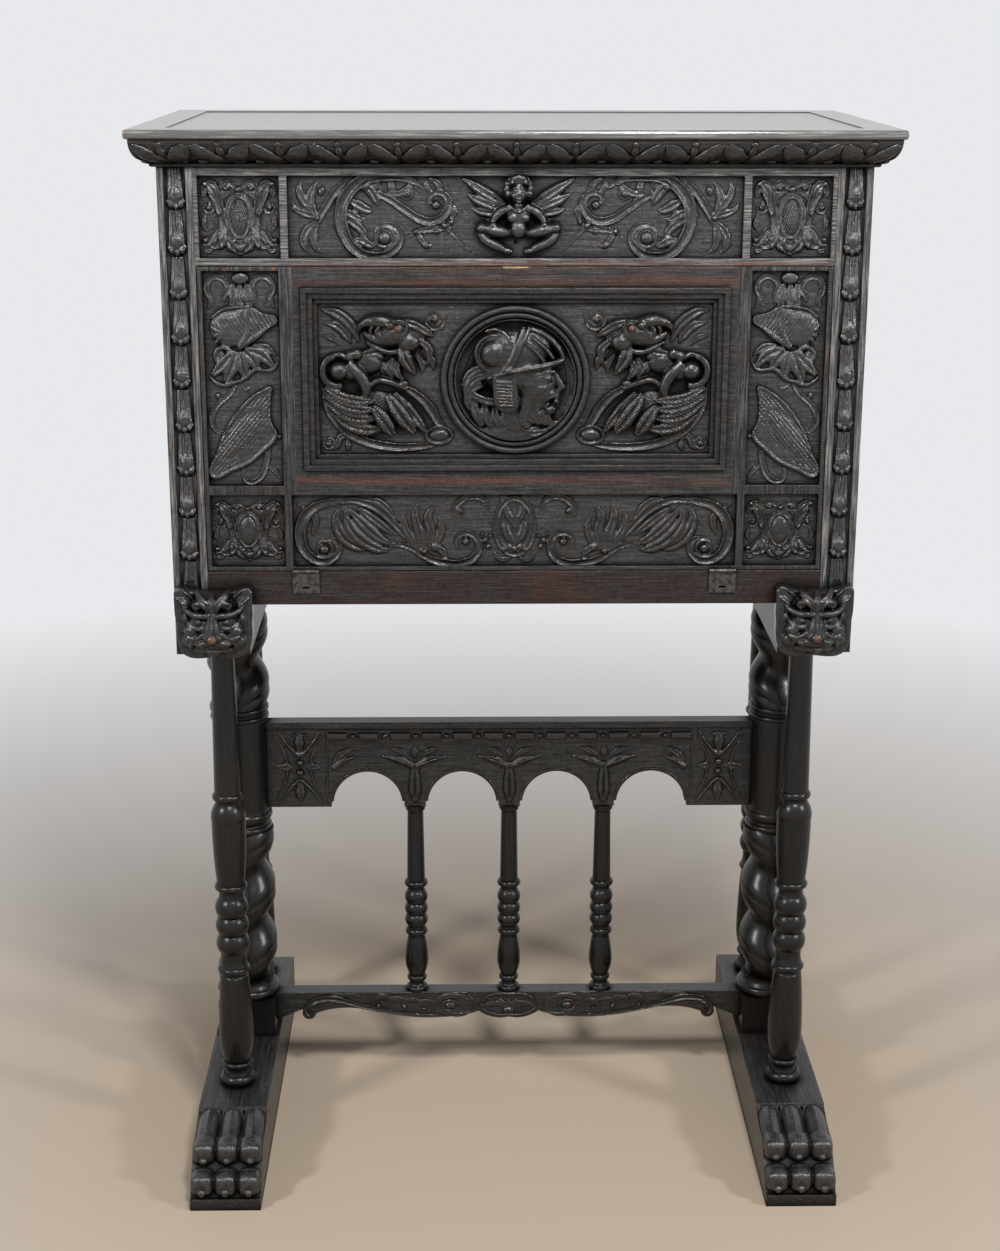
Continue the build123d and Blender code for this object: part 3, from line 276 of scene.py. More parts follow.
wood_x = stained_wood("ebonised_across", "X", warmth=0.12, dry=0.4)
wood_y = stained_wood("ebonised_deep", "Y", warmth=0.1)
wood_z = stained_wood("ebonised_upright", "Z", warmth=0.15, dry=0.6)
fall_wood = stained_wood("ebonised_fall", "X", warmth=0.1, dry=0.55, pale=strip_grain, grain=0.7,
                         notched=True, upright_beyond=0.2655, rubbed=((1.188, 0.018), (0.945, 0.008)),
                         spots=((-0.345, 1.2, 0.004), (-0.287, 1.201, 0.004), (0.31, 0.94, 0.003)))
frieze_wood = stained_wood("ebonised_frieze", "X", dark=dry_black, warmth=0.05, rough=0.34, dry=1.0,
                           wear=0.8, sheen=0.8, pale=silver_grain, grain=0.8, notched=True,
                           rubbed=((1.207, 0.004),))
stile_wood = stained_wood("ebonised_stile", "Z", dark=dry_black, warmth=0.1, dry=0.95, grain=0.9,
                          wear=0.9, sheen=0.8, pale=silver_grain)
carved = stained_wood("ebonised_carved", "X", chip=dull_chip, wear=0.30, warmth=0.05, rough=0.20,
                      grain=0.65, dry=0.2, tooled=0.5, ridged=True, sheen=0.88,
                      spots=((0.011, 1.234, 0.004),))
# A darker, less waxy copy of the carved wood for the cornice, middle panel, lower frieze, arcade and
# stretcher: partly their darker finish, partly painted shade for carvings that get less light.
carved_deep = stained_wood("ebonised_carved_deep", "X", dark=deep_black, warm=(0.115, 0.042, 0.017),
                           chip=dull_chip, warmth=0.05, rough=0.17, dry=0.15, tooled=0.45,
                           ridged=True, sheen=0.62,
                           spots=((-0.139, 1.132, 0.004), (0.139, 1.132, 0.004)))
mask_wood = stained_wood("ebonised_mask", "Z", dark=deep_black, warm=(0.125, 0.042, 0.017),
                         chip=dull_chip, wear=0.42, warmth=0.05, rough=0.20, grain=0.4, dry=0.15,
                         tooled=0.4, ridged=True, sheen=0.62, in_round=True,
                         spots=((-0.370, 0.757, 0.0065), (0.370, 0.757, 0.0065)))
paw_wood = stained_wood("ebonised_paw", "Y", dark=(0.0110, 0.0105, 0.0098), warm=(0.115, 0.050, 0.024),
                        chip=dull_chip, wear=0.40, warmth=0.05, rough=0.30, dry=0.35, tooled=0.5,
                        ridged=True, sheen=0.8, in_round=True)
ground_x = stained_wood("ebonised_ground", "X", wear=0.3, warmth=0.04, rough=0.34, grain=0.8, dry=0.4,
                        tooled=0.6, sheen=0.66)
# Painted shade: a darker, plainer wood for the medallion and its bowl, standing for the shade in the deep
# bowl.
shaded_bowl_wood = stained_wood("ebonised_bowl_shade", "X", dark=(0.0075, 0.0075, 0.0072), wear=0.6, warmth=0.0,
                     grain=0.6, dry=0.15, tooled=0.4)
turned_z = stained_wood("ebonised_turned", "Z", dark=(0.0040, 0.0040, 0.0038), warm=(0.042, 0.016, 0.009),
                        wear=0.7, warmth=0.2, rough=0.26, grain=0.10, dry=0.12, turned=True, sheen=0.34)
# The top's stain is far paler than the rest: partly its dry open grain, partly a painted reflection of the
# bright room above.
top_x = stained_wood("ebonised_top", "X", dark=(0.085, 0.081, 0.077), warm=(0.13, 0.090, 0.068),
                     wear=1.0, warmth=0.3, rough=0.15, grain=0.08, dry=0.9, pale=silver_grain,
                     tooled=0.1, sheen=1.0, spots=((-0.452, 1.36, 0.006),))
rail_brown = stained_wood("ebonised_rubbed_rail", "X", dark=(0.0150, 0.0085, 0.0065),
                          warm=(0.085, 0.024, 0.012), wear=0.8, warmth=0.7, dry=0.3, rough=0.40,
                          sheen=0.34)
inner_wood = stained_wood("oiled_inner", "X", dark=(0.085, 0.043, 0.022), warm=(0.15, 0.075, 0.038),
                          chip=(0.30, 0.17, 0.09), rough=0.46, dry=0.8, pale=(0.17, 0.092, 0.048),
                          warmth=0.4)
inner_deep = stained_wood("oiled_inner_deep", "Y", dark=(0.13, 0.078, 0.047), warm=(0.20, 0.125, 0.075),
                          chip=(0.36, 0.23, 0.13), rough=0.46, dry=0.8, pale=(0.24, 0.16, 0.10),
                          warmth=0.4)
back_wood = stained_wood("bare_back", "X", dark=(0.060, 0.040, 0.028), warm=(0.095, 0.056, 0.034),
                         chip=(0.24, 0.15, 0.09), rough=0.62, dry=0.9, pale=(0.135, 0.095, 0.068),
                         grain=0.9)


def metal(name, colour, tarnish, rough):
    """Hand-worked metal: uneven colour, dull in patches."""
    material = bpy.data.materials.new(name)
    material.use_nodes = True
    tree = material.node_tree
    shader = tree.nodes["Principled BSDF"]
    place = node_of(tree, "TexCoord").outputs["Object"]
    mottle = speckle(tree, place, 160, 6, 0.5)
    mask = ramp_of(tree, mottle, (0.42, 0.0), (0.62, 1.0))
    tree.links.new(blend_of(tree, mask, colour, tarnish), shader.inputs["Base Color"])
    tree.links.new(ramp_of(tree, mottle, (0.3, rough), (0.7, rough + 0.25)), shader.inputs["Roughness"])
    shader.inputs["Metallic"].default_value = 0.9
    bump = node_of(tree, "Bump", {"Strength": 0.35, "Distance": 0.0004, "Height": mottle})
    tree.links.new(bump.outputs[0], shader.inputs["Normal"])
    return material


iron = metal("dark_iron", (0.10, 0.095, 0.09), (0.045, 0.032, 0.025), 0.36)
brass = metal("old_brass", (0.62, 0.45, 0.19), (0.30, 0.20, 0.09), 0.32)


def finish_nodes(material, *names):
    """Gives CAD nodes their material; a name ending in * covers all that start so."""
    for name in names:
        stem = name.rstrip("*")
        for node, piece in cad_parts.items():
            if node == name or (name.endswith("*") and node.startswith(stem)):
                piece.data.materials.clear()
                piece.data.materials.append(material)


finish_nodes(wood_x, "fall_board", "centre_moulding", "cornice", "arcade", "stretcher")
finish_nodes(fall_wood, "fall_frame")
finish_nodes(frieze_wood, "frieze_rail")
# The medallion's ground gets painted shade.
finish_nodes(shaded_bowl_wood, "medallion")
finish_nodes(ground_x, "frieze_panels", "lower_frieze_panels", "side_panels", "centre_panel")
finish_nodes(top_x, "top_boards", "top_frame")
finish_nodes(rail_brown, "bottom_rail")
finish_nodes(wood_y, "foot_*", "top_rail_*")
finish_nodes(wood_z, "side_left", "side_right")
finish_nodes(stile_wood, "stile_*")
finish_nodes(turned_z, "column_*", "baluster_*", "spindle_*", "mask_*")
finish_nodes(inner_wood, "drawer_*", "knob_*", "nest_*", "locating_pegs")
finish_nodes(back_wood, "back_boards", "bottom_board")
finish_nodes(inner_deep, "loper_*")
finish_nodes(iron, "hinge_*", "lock_*")
finish_nodes(brass, "strike_plate")


# ------------------------------------------------------------------ camera, light, floor
camera_data = bpy.data.cameras.new("camera")
camera_data.lens = 60.25
camera_data.sensor_width = 36
camera = bpy.data.objects.new("camera", camera_data)
bpy.context.scene.collection.objects.link(camera)
camera_place = (-0.0614, -2.6882, 1.4955)
camera_turn, camera_dip, camera_roll = -1.0, 16.39, 0.107       # degrees; dip is below level
camera.matrix_world = (Matrix.Translation(camera_place)
                       @ Matrix.Rotation(radians(camera_turn), 4, "Z")
                       @ Matrix.Rotation(radians(90 - camera_dip), 4, "X")
                       @ Matrix.Rotation(radians(camera_roll), 4, "Z"))
bpy.context.scene.camera = camera
bpy.context.scene.view_settings.view_transform = "Standard"


def soft_lamp(name, place, target, size, power):
    """A square area lamp that faces a point and isn't seen itself."""
    lamp = bpy.data.lights.new(name, "AREA")
    lamp.size = size
    lamp.energy = power
    holder = bpy.data.objects.new(name, lamp)
    bpy.context.scene.collection.objects.link(holder)
    holder.location = place
    holder.rotation_euler = (Vector(target) - Vector(place)).to_track_quat("-Z", "Y").to_euler()
    holder.visible_camera = False


soft_lamp("lamp_above", (0.35, -1.75, 2.75), (0, 0, 1.2), 0.40, 50)
soft_lamp("lamp_left", (-2.3, -1.9, 2.1), (0, 0, 1.0), 0.36, 42)
soft_lamp("lamp_right", (2.5, -1.6, 2.0), (0, 0, 1.0), 0.36, 38)

# What the camera, a mirror or a glass sees behind the object, apart from what lights it.
backdrop = (0.80, 0.81, 0.83, 1)


def sees_backdrop(tree):
    """1 for rays that look at the background, 0 for rays that carry its light."""
    rays = node_of(tree, "LightPath").outputs
    looks = figure_of(tree, "MAXIMUM", rays["Is Camera Ray"], rays["Is Glossy Ray"])
    return figure_of(tree, "MAXIMUM", looks, rays["Is Transmission Ray"])


world = bpy.data.worlds.new("studio")
bpy.context.scene.world = world
world.use_nodes = True
room = world.node_tree
room.nodes.clear()
lit = node_of(room, "Background", {"Color": (0.95, 0.96, 0.98, 1), "Strength": 0.24})
shown = node_of(room, "Background", {"Color": backdrop, "Strength": 1.0})
both = node_of(room, "MixShader", {0: sees_backdrop(room), 1: lit.outputs[0], 2: shown.outputs[0]})
node_of(room, "OutputWorld", {"Surface": both.outputs[0]})

# Pale floor that fades into the background, as a studio cove does.
cove_reach = 10.0
cove_fade = (0.05, 0.27)                        # shares of the reach where it starts and ends
bpy.ops.mesh.primitive_plane_add(size=80)
floor = bpy.context.object
floor.name = "floor"
pale = bpy.data.materials.new("pale_floor")
pale.use_nodes = True
cove = pale.node_tree
boards = cove.nodes["Principled BSDF"]
boards.inputs["Base Color"].default_value = (0.52, 0.42, 0.32, 1)
boards.inputs["Roughness"].default_value = 0.7
boards.inputs["Specular IOR Level"].default_value = 0.2
floor_place = node_of(cove, "TexCoord").outputs["Object"]
distance = node_of(cove, "VectorMath", {0: floor_place}, operation="LENGTH").outputs["Value"]
away = figure_of(cove, "DIVIDE", distance, cove_reach, clamp=True)
away = ramp_of(cove, away, (cove_fade[0], 0.0), (cove_fade[1], 1.0))
away = product_of(cove, away, sees_backdrop(cove))
glow = node_of(cove, "Emission", {"Color": backdrop, "Strength": 1.0})
faded = node_of(cove, "MixShader", {0: away, 1: boards.outputs[0], 2: glow.outputs[0]})
cove.links.new(faded.outputs[0], cove.nodes["Material Output"].inputs["Surface"])
floor.data.materials.append(pale)

# ------------------------------------------------------------------ the carver's bench
# Cross-sections of a cut, in half widths; each starts and ends at its foot.
cuts = {
    "reed": ((-1, 0), (-0.9, 0.4), (-0.55, 0.78), (0, 0.95), (0.55, 0.78), (0.9, 0.4), (1, 0)),
    "channel": ((-1, 0), (-1, 0.4), (-0.85, 0.62), (-0.66, 0.5), (-0.33, 0.2), (0, 0.14),
                (0.33, 0.2), (0.66, 0.5), (0.85, 0.62), (1, 0.4), (1, 0)),
    "leaf": ((-1, 0), (-0.85, 0.28), (-0.5, 0.52), (-0.2, 0.42), (0, 0.14), (0.2, 0.42),
             (0.5, 0.52), (0.85, 0.28), (1, 0)),
    "ridge": ((-1, 0), (-0.5, 0.22), (-0.15, 0.62), (0, 0.75), (0.15, 0.62), (0.5, 0.22), (1, 0)),
    "cove": ((-1, 0), (-1, 0.9), (-0.8, 0.78), (-0.45, 0.42), (0.1, 0.18), (1, 0.04), (1, 0)),
    "petal": ((-1, 0), (-0.92, 0.3), (-0.5, 0.42), (0, 0.46), (0.5, 0.42), (0.92, 0.3), (1, 0)),
}
deep_foot = -14.0           # a cut's sides run down past the ground, where they are trimmed
trim = -1.2                 # the carving is let this far into its ground
cut_outlines = {}
for cut_name, outline in cuts.items():
    shape = bpy.data.curves.new("cut_" + cut_name, "CURVE")
    shape.dimensions = "2D"
    closed = ((outline[0][0], deep_foot), *outline, (outline[-1][0], deep_foot))
    edge_line = shape.splines.new("POLY")
    edge_line.points.add(len(closed) - 1)
    for knot, (across, up) in zip(edge_line.points, closed):
        knot.co = (across, up, 0, 1)
    edge_line.use_cyclic_u = True
    cut_outlines[cut_name] = bpy.data.objects.new("cut_" + cut_name, shape)
    bpy.context.scene.collection.objects.link(cut_outlines[cut_name])


def pick(*pieces):
    """Selects only these pieces, the first one active."""
    bpy.ops.object.select_all(action="DESELECT")
    for piece in pieces:
        piece.select_set(True)
    bpy.context.view_layer.objects.active = pieces[0]


def strokes(cut, *lines, heft=1.2):
    """Draws strokes along lines of (x, y, half width) or (x, y, half width, lift)."""
    drawn = bpy.data.curves.new("strokes", "CURVE")
    drawn.dimensions = "3D"
    drawn.twist_mode = "Z_UP"
    drawn.resolution_u = 5
    drawn.bevel_mode = "OBJECT"
    drawn.bevel_object = cut_outlines[cut]
    drawn.use_fill_caps = True
    for line in lines:
        spline = drawn.splines.new("BEZIER")
        spline.bezier_points.add(len(line) - 1)
        for knot, (x, y, half, *lift) in zip(spline.bezier_points, line):
            knot.co = (x, y, lift[0] if lift else 0)
            knot.radius = half * heft
            knot.handle_left_type = knot.handle_right_type = "AUTO"
    piece = bpy.data.objects.new("strokes", drawn)
    bpy.context.scene.collection.objects.link(piece)
    pick(piece)
    bpy.ops.object.convert(target="MESH")
    return bpy.context.object


def ball(x, y, half_x, half_y, rise, turn=0, lift=0):
    """A flattened ball; turn is in degrees on the bench."""
    bpy.ops.mesh.primitive_uv_sphere_add(segments=20, ring_count=12, radius=1, location=(x, y, lift),
                                         rotation=(0, 0, radians(turn)), scale=(half_x, half_y, rise))
    return bpy.context.object


def block(x, y, half_x, half_y, rise, lift, squareness=0.55):
    """A rounded block, a ball whose sides have been squared up."""
    piece = ball(0, 0, 1, 1, 1)
    for vertex in piece.data.vertices:
        vertex.co = [abs(value) ** squareness * (1 if value > 0 else -1) for value in vertex.co]
    piece.location = (x, y, lift)
    piece.scale = (half_x, half_y, rise)
    return piece


def plate(points, rise, lift=0.0, rounding=0.8):
    """A flat plate of a smooth outline, its edge rounded."""
    drawn = bpy.data.curves.new("plate", "CURVE")
    drawn.dimensions = "2D"
    drawn.fill_mode = "BOTH"
    drawn.resolution_u = 6
    drawn.extrude = rise / 2
    drawn.bevel_depth = rounding
    drawn.offset = -rounding
    rim = drawn.splines.new("BEZIER")
    rim.bezier_points.add(len(points) - 1)
    for knot, (x, y) in zip(rim.bezier_points, points):
        knot.co = (x, y, 0)
        knot.handle_left_type = knot.handle_right_type = "AUTO"
    rim.use_cyclic_u = True
    piece = bpy.data.objects.new("plate", drawn)
    piece.location.z = lift + rise / 2 - rounding
    bpy.context.scene.collection.objects.link(piece)
    pick(piece)
    bpy.ops.object.convert(target="MESH")
    return bpy.context.object


def loop(x, y, half_x, half_y, width, lift=0, start=0, sweep=360, count=12):
    """Points of an oval ring, or a part of one, for a stroke."""
    return [(x + half_x * cos(radians(start + sweep * k / count)),
             y + half_y * sin(radians(start + sweep * k / count)), width, lift)
            for k in range(count + 1)]


def volute(x, y, outer, inner, start, sweep, wide, narrow, lift=0, count=14):
    """Points of a spiral that winds in to its eye, for a stroke."""
    points = []
    for k in range(count + 1):
        share = k / count
        reach = outer + (inner - outer) * share
        bearing = radians(start + sweep * share)
        points.append((x + reach * cos(bearing), y + reach * sin(bearing),
                       wide + (narrow - wide) * share, lift))
    return points


def other_hand(parts):
    """Mirrored copies of rough parts, across x = 0."""
    copies = []
    for part in parts:
        copy = part.copy()
        copy.data = part.data.copy()
        copy.data.transform(Matrix.Diagonal((-1, 1, 1, 1)) @ copy.matrix_world)
        copy.matrix_world = Matrix.Identity(4)
        copy.data.flip_normals()
        bpy.context.scene.collection.objects.link(copy)
        copies.append(copy)
    return copies


def carve(name, parts, fineness=0.9, soften=3, floor_at=trim):
    """Joins rough parts, melts them into one skin and softens it."""
    pick(*parts)
    bpy.ops.object.join()
    piece = bpy.context.object
    piece.name = piece.data.name = name
    bpy.ops.object.transform_apply(location=True, rotation=True, scale=True)
    for vertex in piece.data.vertices:
        vertex.co.z = max(vertex.co.z, floor_at)
    skin = piece.modifiers.new("skin", "REMESH")
    skin.mode = "VOXEL"
    skin.voxel_size = fineness
    skin.use_smooth_shade = True
    bpy.ops.object.modifier_apply(modifier="skin")
    rub = piece.modifiers.new("rub", "SMOOTH")
    rub.factor = 0.5
    rub.iterations = soften
    bpy.ops.object.modifier_apply(modifier="rub")
    return piece


def set_piece(piece, matrix, body, material):
    """Sets a bench piece in its place in the room, in metres, and hands it to its body."""
    piece.data.transform(matrix)
    if matrix.determinant() < 0:
        piece.data.flip_normals()
    piece.data.materials.clear()
    piece.data.materials.append(material)
    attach(piece, body)


def on_front(x, z, depth):
    """Bench to front: bench origin at (x, z) on the ground that lies this deep."""
    return (Matrix.Translation((x * MM, (face_y + depth) * MM, z * MM))
            @ Matrix.Rotation(radians(90), 4, "X") @ Matrix.Scale(MM, 4))


def middle_of(node, side):
    """Middle of a CAD node along side 0, 1 or 2, in millimetres."""
    low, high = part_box(node)
    return (low[side] + high[side]) / 2 / MM


flip_x = Matrix.Diagonal((-1, 1, 1, 1))


def copy_of(piece, name):
    """A second piece with its own mesh."""
    copy = piece.copy()
    copy.data = piece.data.copy()
    copy.name = copy.data.name = name
    bpy.context.scene.collection.objects.link(copy)
    return copy


def set_pair(right, left_name, place, body, material):
    """Sets a right-hand bench piece and its mirrored copy to both sides of the middle."""
    set_piece(copy_of(right, left_name), place @ flip_x, body, material)
    set_piece(right, place, body, material)


# ------------------------------------------------------------------ corner cartouches
boss_half = (12.0, 22.0)            # half width and height of the oval boss
boss_y = -1
boss_rim = 1.2                      # plain edge round its hatching


def hatch_boss(piece):
    """Cuts crossing strokes into the oval boss."""
    reach_x, reach_y = boss_half[0] - boss_rim, boss_half[1] - boss_rim
    for vertex in piece.data.vertices:
        x, y, z = vertex.co
        if z > 2 and (x / reach_x) ** 2 + ((y - boss_y) / reach_y) ** 2 < 1:
            vertex.co.z += 0.5 * (sin((x + 0.55 * y) * 2.0) + sin((x - 0.55 * y) * 2.0)) - 0.4


def cartouche(name, hatched, squash):
    """Oval boss in strapwork, for a square corner panel."""
    half = [
        strokes("channel",
                [(42, 22, 2.0), (42, 31, 3.8), (35, 36, 6.2), (29, 26, 6.4), (24, 11, 4.8), (21, -4, 3.8),
                 (20, -17, 4.8), (25, -29, 4.8), (33, -34, 3.2), (36, -28, 1.8)],
                volute(38, 11, 7.4, 3.0, 95, 330, 3.0, 1.8),
                [(2, 30, 1.8), (8, 37, 2.8), (16, 39, 3.0), (21, 34, 2.6), (17, 29, 2.2), (12, 32, 1.6)],
                [(22, -10, 2.4), (31, -18, 3.6), (38, -28, 3.8), (44, -31, 2.4), (42, -25, 1.6)]),
        strokes("leaf",
                [(28, 18, 2.6), (31, 30, 5.6, 1.2), (38, 38, 3.0, 0.6)],
                [(20, -12, 2.6), (20, -26, 5.6, 1.2), (26, -38, 2.2)],
                [(16, -24, 3.2), (10, -34, 6.6, 0.8), (3, -42, 2.2)],
                [(41, 3, 1.8), (44, -8, 3.8), (40, -18, 1.2)],
                [(22, 18, 1.8), (16, 26, 3.4), (9, 28, 0.9)],
                [(33, -38, 1.4), (40, -40, 3.4), (45, -37, 0.9)]),
        ball(43, -27, 4.0, 3.6, 4.4), ball(38, 11, 3.6, 3.6, 4.6), ball(8, -29, 4.6, 5.4, 5.4, 30),
        ball(15, 33, 3.2, 3.2, 4.2), ball(41, 38, 4.0, 3.4, 5.0, 30), ball(25, 4, 3.0, 4.6, 4.6),
        ball(23, -34, 3.4, 4.0, 5.0),
    ]
    whole = half + other_hand(half) + [
        strokes("reed", loop(0, boss_y, 13.5, 23.5, 1.5, 1.6), loop(0, boss_y, 17.5, 27.5, 1.4, 0.4)),
        ball(0, boss_y, *boss_half, 5.6),
        ball(0, -36, 5.6, 6.2, 5.6), ball(0, 32, 5.4, 3.8, 4.6), ball(0, -43, 3.2, 2.6, 3.4),
    ]
    piece = carve(name, whole, 0.8, soften=2)
    if hatched:
        hatch_boss(piece)
    piece.data.transform(Matrix.Diagonal((*squash, 1, 1)))
    return piece


upper_frieze_z = 1261.2
upper_corner_x = 325.2
lower_frieze_z = 882.3
lower_corner_x = 326.5              # the side panels have their middle here too
for side, sign in (("left", -1), ("right", 1)):
    place = on_front(sign * upper_corner_x, upper_frieze_z, ground_depth)
    set_piece(cartouche("upper_cartouche_" + side, True, (0.95, 1.0)), place, "root", carved)
    place = on_front(sign * lower_corner_x, lower_frieze_z, ground_depth)
    set_piece(cartouche("lower_cartouche_" + side, False, (0.9, 0.86)), place, "fall", carved_deep)


# ------------------------------------------------------------------ upper frieze
def upper_scrolls():
    """One hand of the upper rinceau, drawn from the middle of the frieze outwards."""
    return [
        strokes("channel",
                [(108, 34, 2.0), (124, 43, 3.4), (150, 47, 5.0), (178, 43, 6.2), (198, 26, 6.6),
                 (206, 2, 6.4), (200, -24, 6.0), (184, -42, 5.4), (162, -46, 4.8), (143, -38, 4.2),
                 (136, -24, 3.4), (143, -12, 2.8), (157, -9, 2.2), (167, -18, 1.8)],
                [(172, 30, 2.6), (152, 22, 3.6), (130, 8, 4.2), (112, -3, 4.6), (94, -4, 4.6),
                 (82, 6, 4.4), (80, 20, 3.8), (90, 28, 3.2), (101, 23, 2.6), (101, 13, 2.0)],
                [(190, 46, 2.0), (208, 33, 3.6), (222, 14, 4.0), (234, -6, 3.6)],
                [(128, -24, 1.6), (116, -17, 2.6), (102, -15, 3.0), (88, -14, 2.6), (76, -12, 2.2)],
                [(80, -14, 2.4), (70, -24, 2.2), (60, -36, 1.6), (50, -42, 0.8)]),
        strokes("leaf",
                [(180, 40, 2.2), (172, 32, 6.0), (164, 20, 5.0), (160, 12, 1.0)],
                [(196, 20, 2.0), (186, 14, 6.4), (174, 8, 5.0), (166, 8, 0.8)],
                [(204, 10, 2.0), (192, 2, 5.6, 0.6), (182, -3, 3.4), (176, -1, 0.8)],
                [(192, -26, 2.0), (180, -28, 5.6, 0.6), (170, -33, 4.0), (164, -30, 0.8)],
                [(150, 44, 1.8), (146, 34, 4.8), (150, 24, 0.9)],
                [(172, 44, 1.8), (164, 38, 4.4), (157, 30, 0.9)],
                [(200, -2, 2.0), (190, -8, 5.4), (180, -18, 4.6), (178, -28, 0.8)],
                [(120, 40, 1.6), (128, 32, 4.6), (142, 26, 4.0), (150, 28, 0.8)],
                [(88, 24, 1.6), (90, 36, 4.4), (98, 42, 3.2), (104, 38, 0.8)],
                [(96, 26, 1.6), (104, 34, 3.4), (106, 44, 1.0)],
                [(232, -2, 2.2), (240, 10, 5.2), (240, 28, 5.0), (232, 42, 1.0)],
                [(233, 2, 2.2), (246, 14, 5.0), (254, 30, 4.4), (252, 42, 0.8)],
                [(232, -1, 2.0), (246, 3, 4.6), (260, 10, 3.0), (264, 18, 0.8)],
                [(233, -4, 2.0), (246, -16, 5.4), (250, -32, 4.6), (242, -44, 0.8)],
                [(234, -6, 2.0), (238, -22, 4.6), (236, -36, 3.6), (228, -43, 0.8)],
                [(118, -14, 1.4), (112, -26, 3.8), (104, -34, 3.0), (98, -32, 0.8)],
                [(78, -6, 1.4), (72, 6, 3.8), (74, 16, 1.0)]),
        ball(155, -24, 8.6, 8.6, 7.5), ball(94, 14, 5.6, 5.6, 5.6), ball(128, 27, 5.0, 5.0, 5.0),
        ball(84, -10, 4.4, 4.4, 4.8), ball(76, -6, 3.8, 3.8, 4.2), ball(94, -17, 4.0, 3.4, 4.0),
        ball(118, -17, 3.8, 3.8, 4.4), ball(106, -33, 4.2, 4.2, 3.4), ball(228, 30, 4.2, 6.4, 3.6, 20),
        ball(176, 36, 5.0, 7.0, 6.0, 30), ball(100, 44, 3.4, 3.4, 3.6), ball(234, -1, 4.0, 4.0, 5.0),
        strokes("reed", loop(155, -24, 11.5, 11.5, 1.5, 0.8), loop(128, 27, 7.0, 7.0, 1.1, 0.4)),
    ]


set_pair(carve("upper_scroll_right", upper_scrolls(), 0.95), "upper_scroll_left",
         on_front(0, upper_frieze_z, ground_depth), "root", carved)


# ------------------------------------------------------------------ winged child over the keyhole
def curls_round(x, y, reach_x, reach_y, size, rise, lift, bearings):
    """Balls for curls of hair, set round an oval at these bearings."""
    return [ball(x + reach_x * cos(radians(bearing)), y + reach_y * sin(radians(bearing)),
                 size, size, rise, 0, lift) for bearing in bearings]


def winged_child():
    """Crouching winged child; its middle is x = 0 and the keyhole is in its lap."""
    arm_and_leg = [
        ball(27, -14, 20, 8.8, 13, 12, 3), ball(44, -11, 7.5, 7.0, 10, 0, 4),
        strokes("reed",
                [(12, 12, 4.6, 7), (22, 7, 4.4, 7), (28, 0, 3.4, 8), (31, -6, 2.4, 10)],
                [(46, -15, 3.6, 4), (39, -25, 5.0, 5), (28, -31, 5.0, 5), (17, -36, 3.6, 5)]),
        strokes("leaf",
                [(15, 16, 2.4, 3), (32, 25, 6.4, 4), (48, 35, 5.4, 3), (66, 46, 1.4, 1)],
                [(16, 11, 2.4, 2), (32, 15, 6.0, 4), (48, 21, 5.0, 3), (61, 28, 1.2, 1)],
                [(17, 7, 2.2, 2), (32, 6, 5.2, 3), (46, 8, 4.0, 2), (56, 12, 1.0)],
                [(16, 3, 2.0, 1), (30, -1, 4.0, 2), (44, 0, 1.0)]),
        strokes("ridge", [(28, 24, 2.0, 6), (42, 32, 2.0, 5), (56, 40, 1.4, 3)],
                [(28, 14, 1.8, 6), (40, 18, 1.8, 5), (54, 24, 1.2, 3)]),
        ball(7, 1, 7.4, 6.6, 7.0, 0, 8), ball(13, 11, 6.6, 5.6, 7.0, 0, 7),
        ball(13, -38, 7.6, 4.0, 5.0, 8, 4), ball(30, -7, 4.0, 3.4, 4.0, 0, 12),
        *curls_round(1, 35, 13.0, 12.5, 4.2, 4.4, 12, (-30, -2, 24, 50, 76)),
        *curls_round(0, 41, 8.4, 7.5, 3.4, 3.2, 17, (10, 50, 88)),
    ]
    middle = [
        ball(0, 3, 13, 15, 9.0, 0, 5), ball(0, -12, 10, 12, 9.0, 0, 5), ball(0, 15, 6, 6, 7, 0, 7),
        ball(0, 30, 9.6, 13.0, 9.6, 0, 11), ball(0, 44, 9.0, 6.0, 6.0, 0, 13),
        strokes("reed", [(0, 33.5, 1.3, 18.6), (0, 28.5, 2.0, 19.8)],
                [(-12, 16, 1.2, 11), (0, 8, 1.6, 13.5), (12, 16, 1.2, 11)],
                [(-3.4, 24.2, 1.0, 18.2), (0, 23.4, 1.3, 19.0), (3.4, 24.2, 1.0, 18.2)],
                [(-6.6, 35.4, 1.0, 17.6), (-3.6, 36.2, 1.3, 18.8), (-1.2, 34.8, 1.0, 19.0)],
                [(6.6, 35.4, 1.0, 17.6), (3.6, 36.2, 1.3, 18.8), (1.2, 34.8, 1.0, 19.0)]),
        ball(-3.6, 32.2, 1.9, 1.4, 1.8, 0, 18.4), ball(3.6, 32.2, 1.9, 1.4, 1.8, 0, 18.4),
        ball(0, 19.8, 3.0, 2.2, 2.6, 0, 17.4), ball(-5, 27.0, 2.8, 3.2, 2.8, 0, 16.6),
        ball(5, 27.0, 2.8, 3.2, 2.8, 0, 16.6),
    ]
    return arm_and_leg + other_hand(arm_and_leg) + middle


child_off = (3.0, -1)               # it sits this far off the middle of its panel
set_piece(carve("winged_child", winged_child(), 0.8, soften=2),
          on_front(child_off[0], upper_frieze_z + child_off[1], ground_depth), "root", carved)


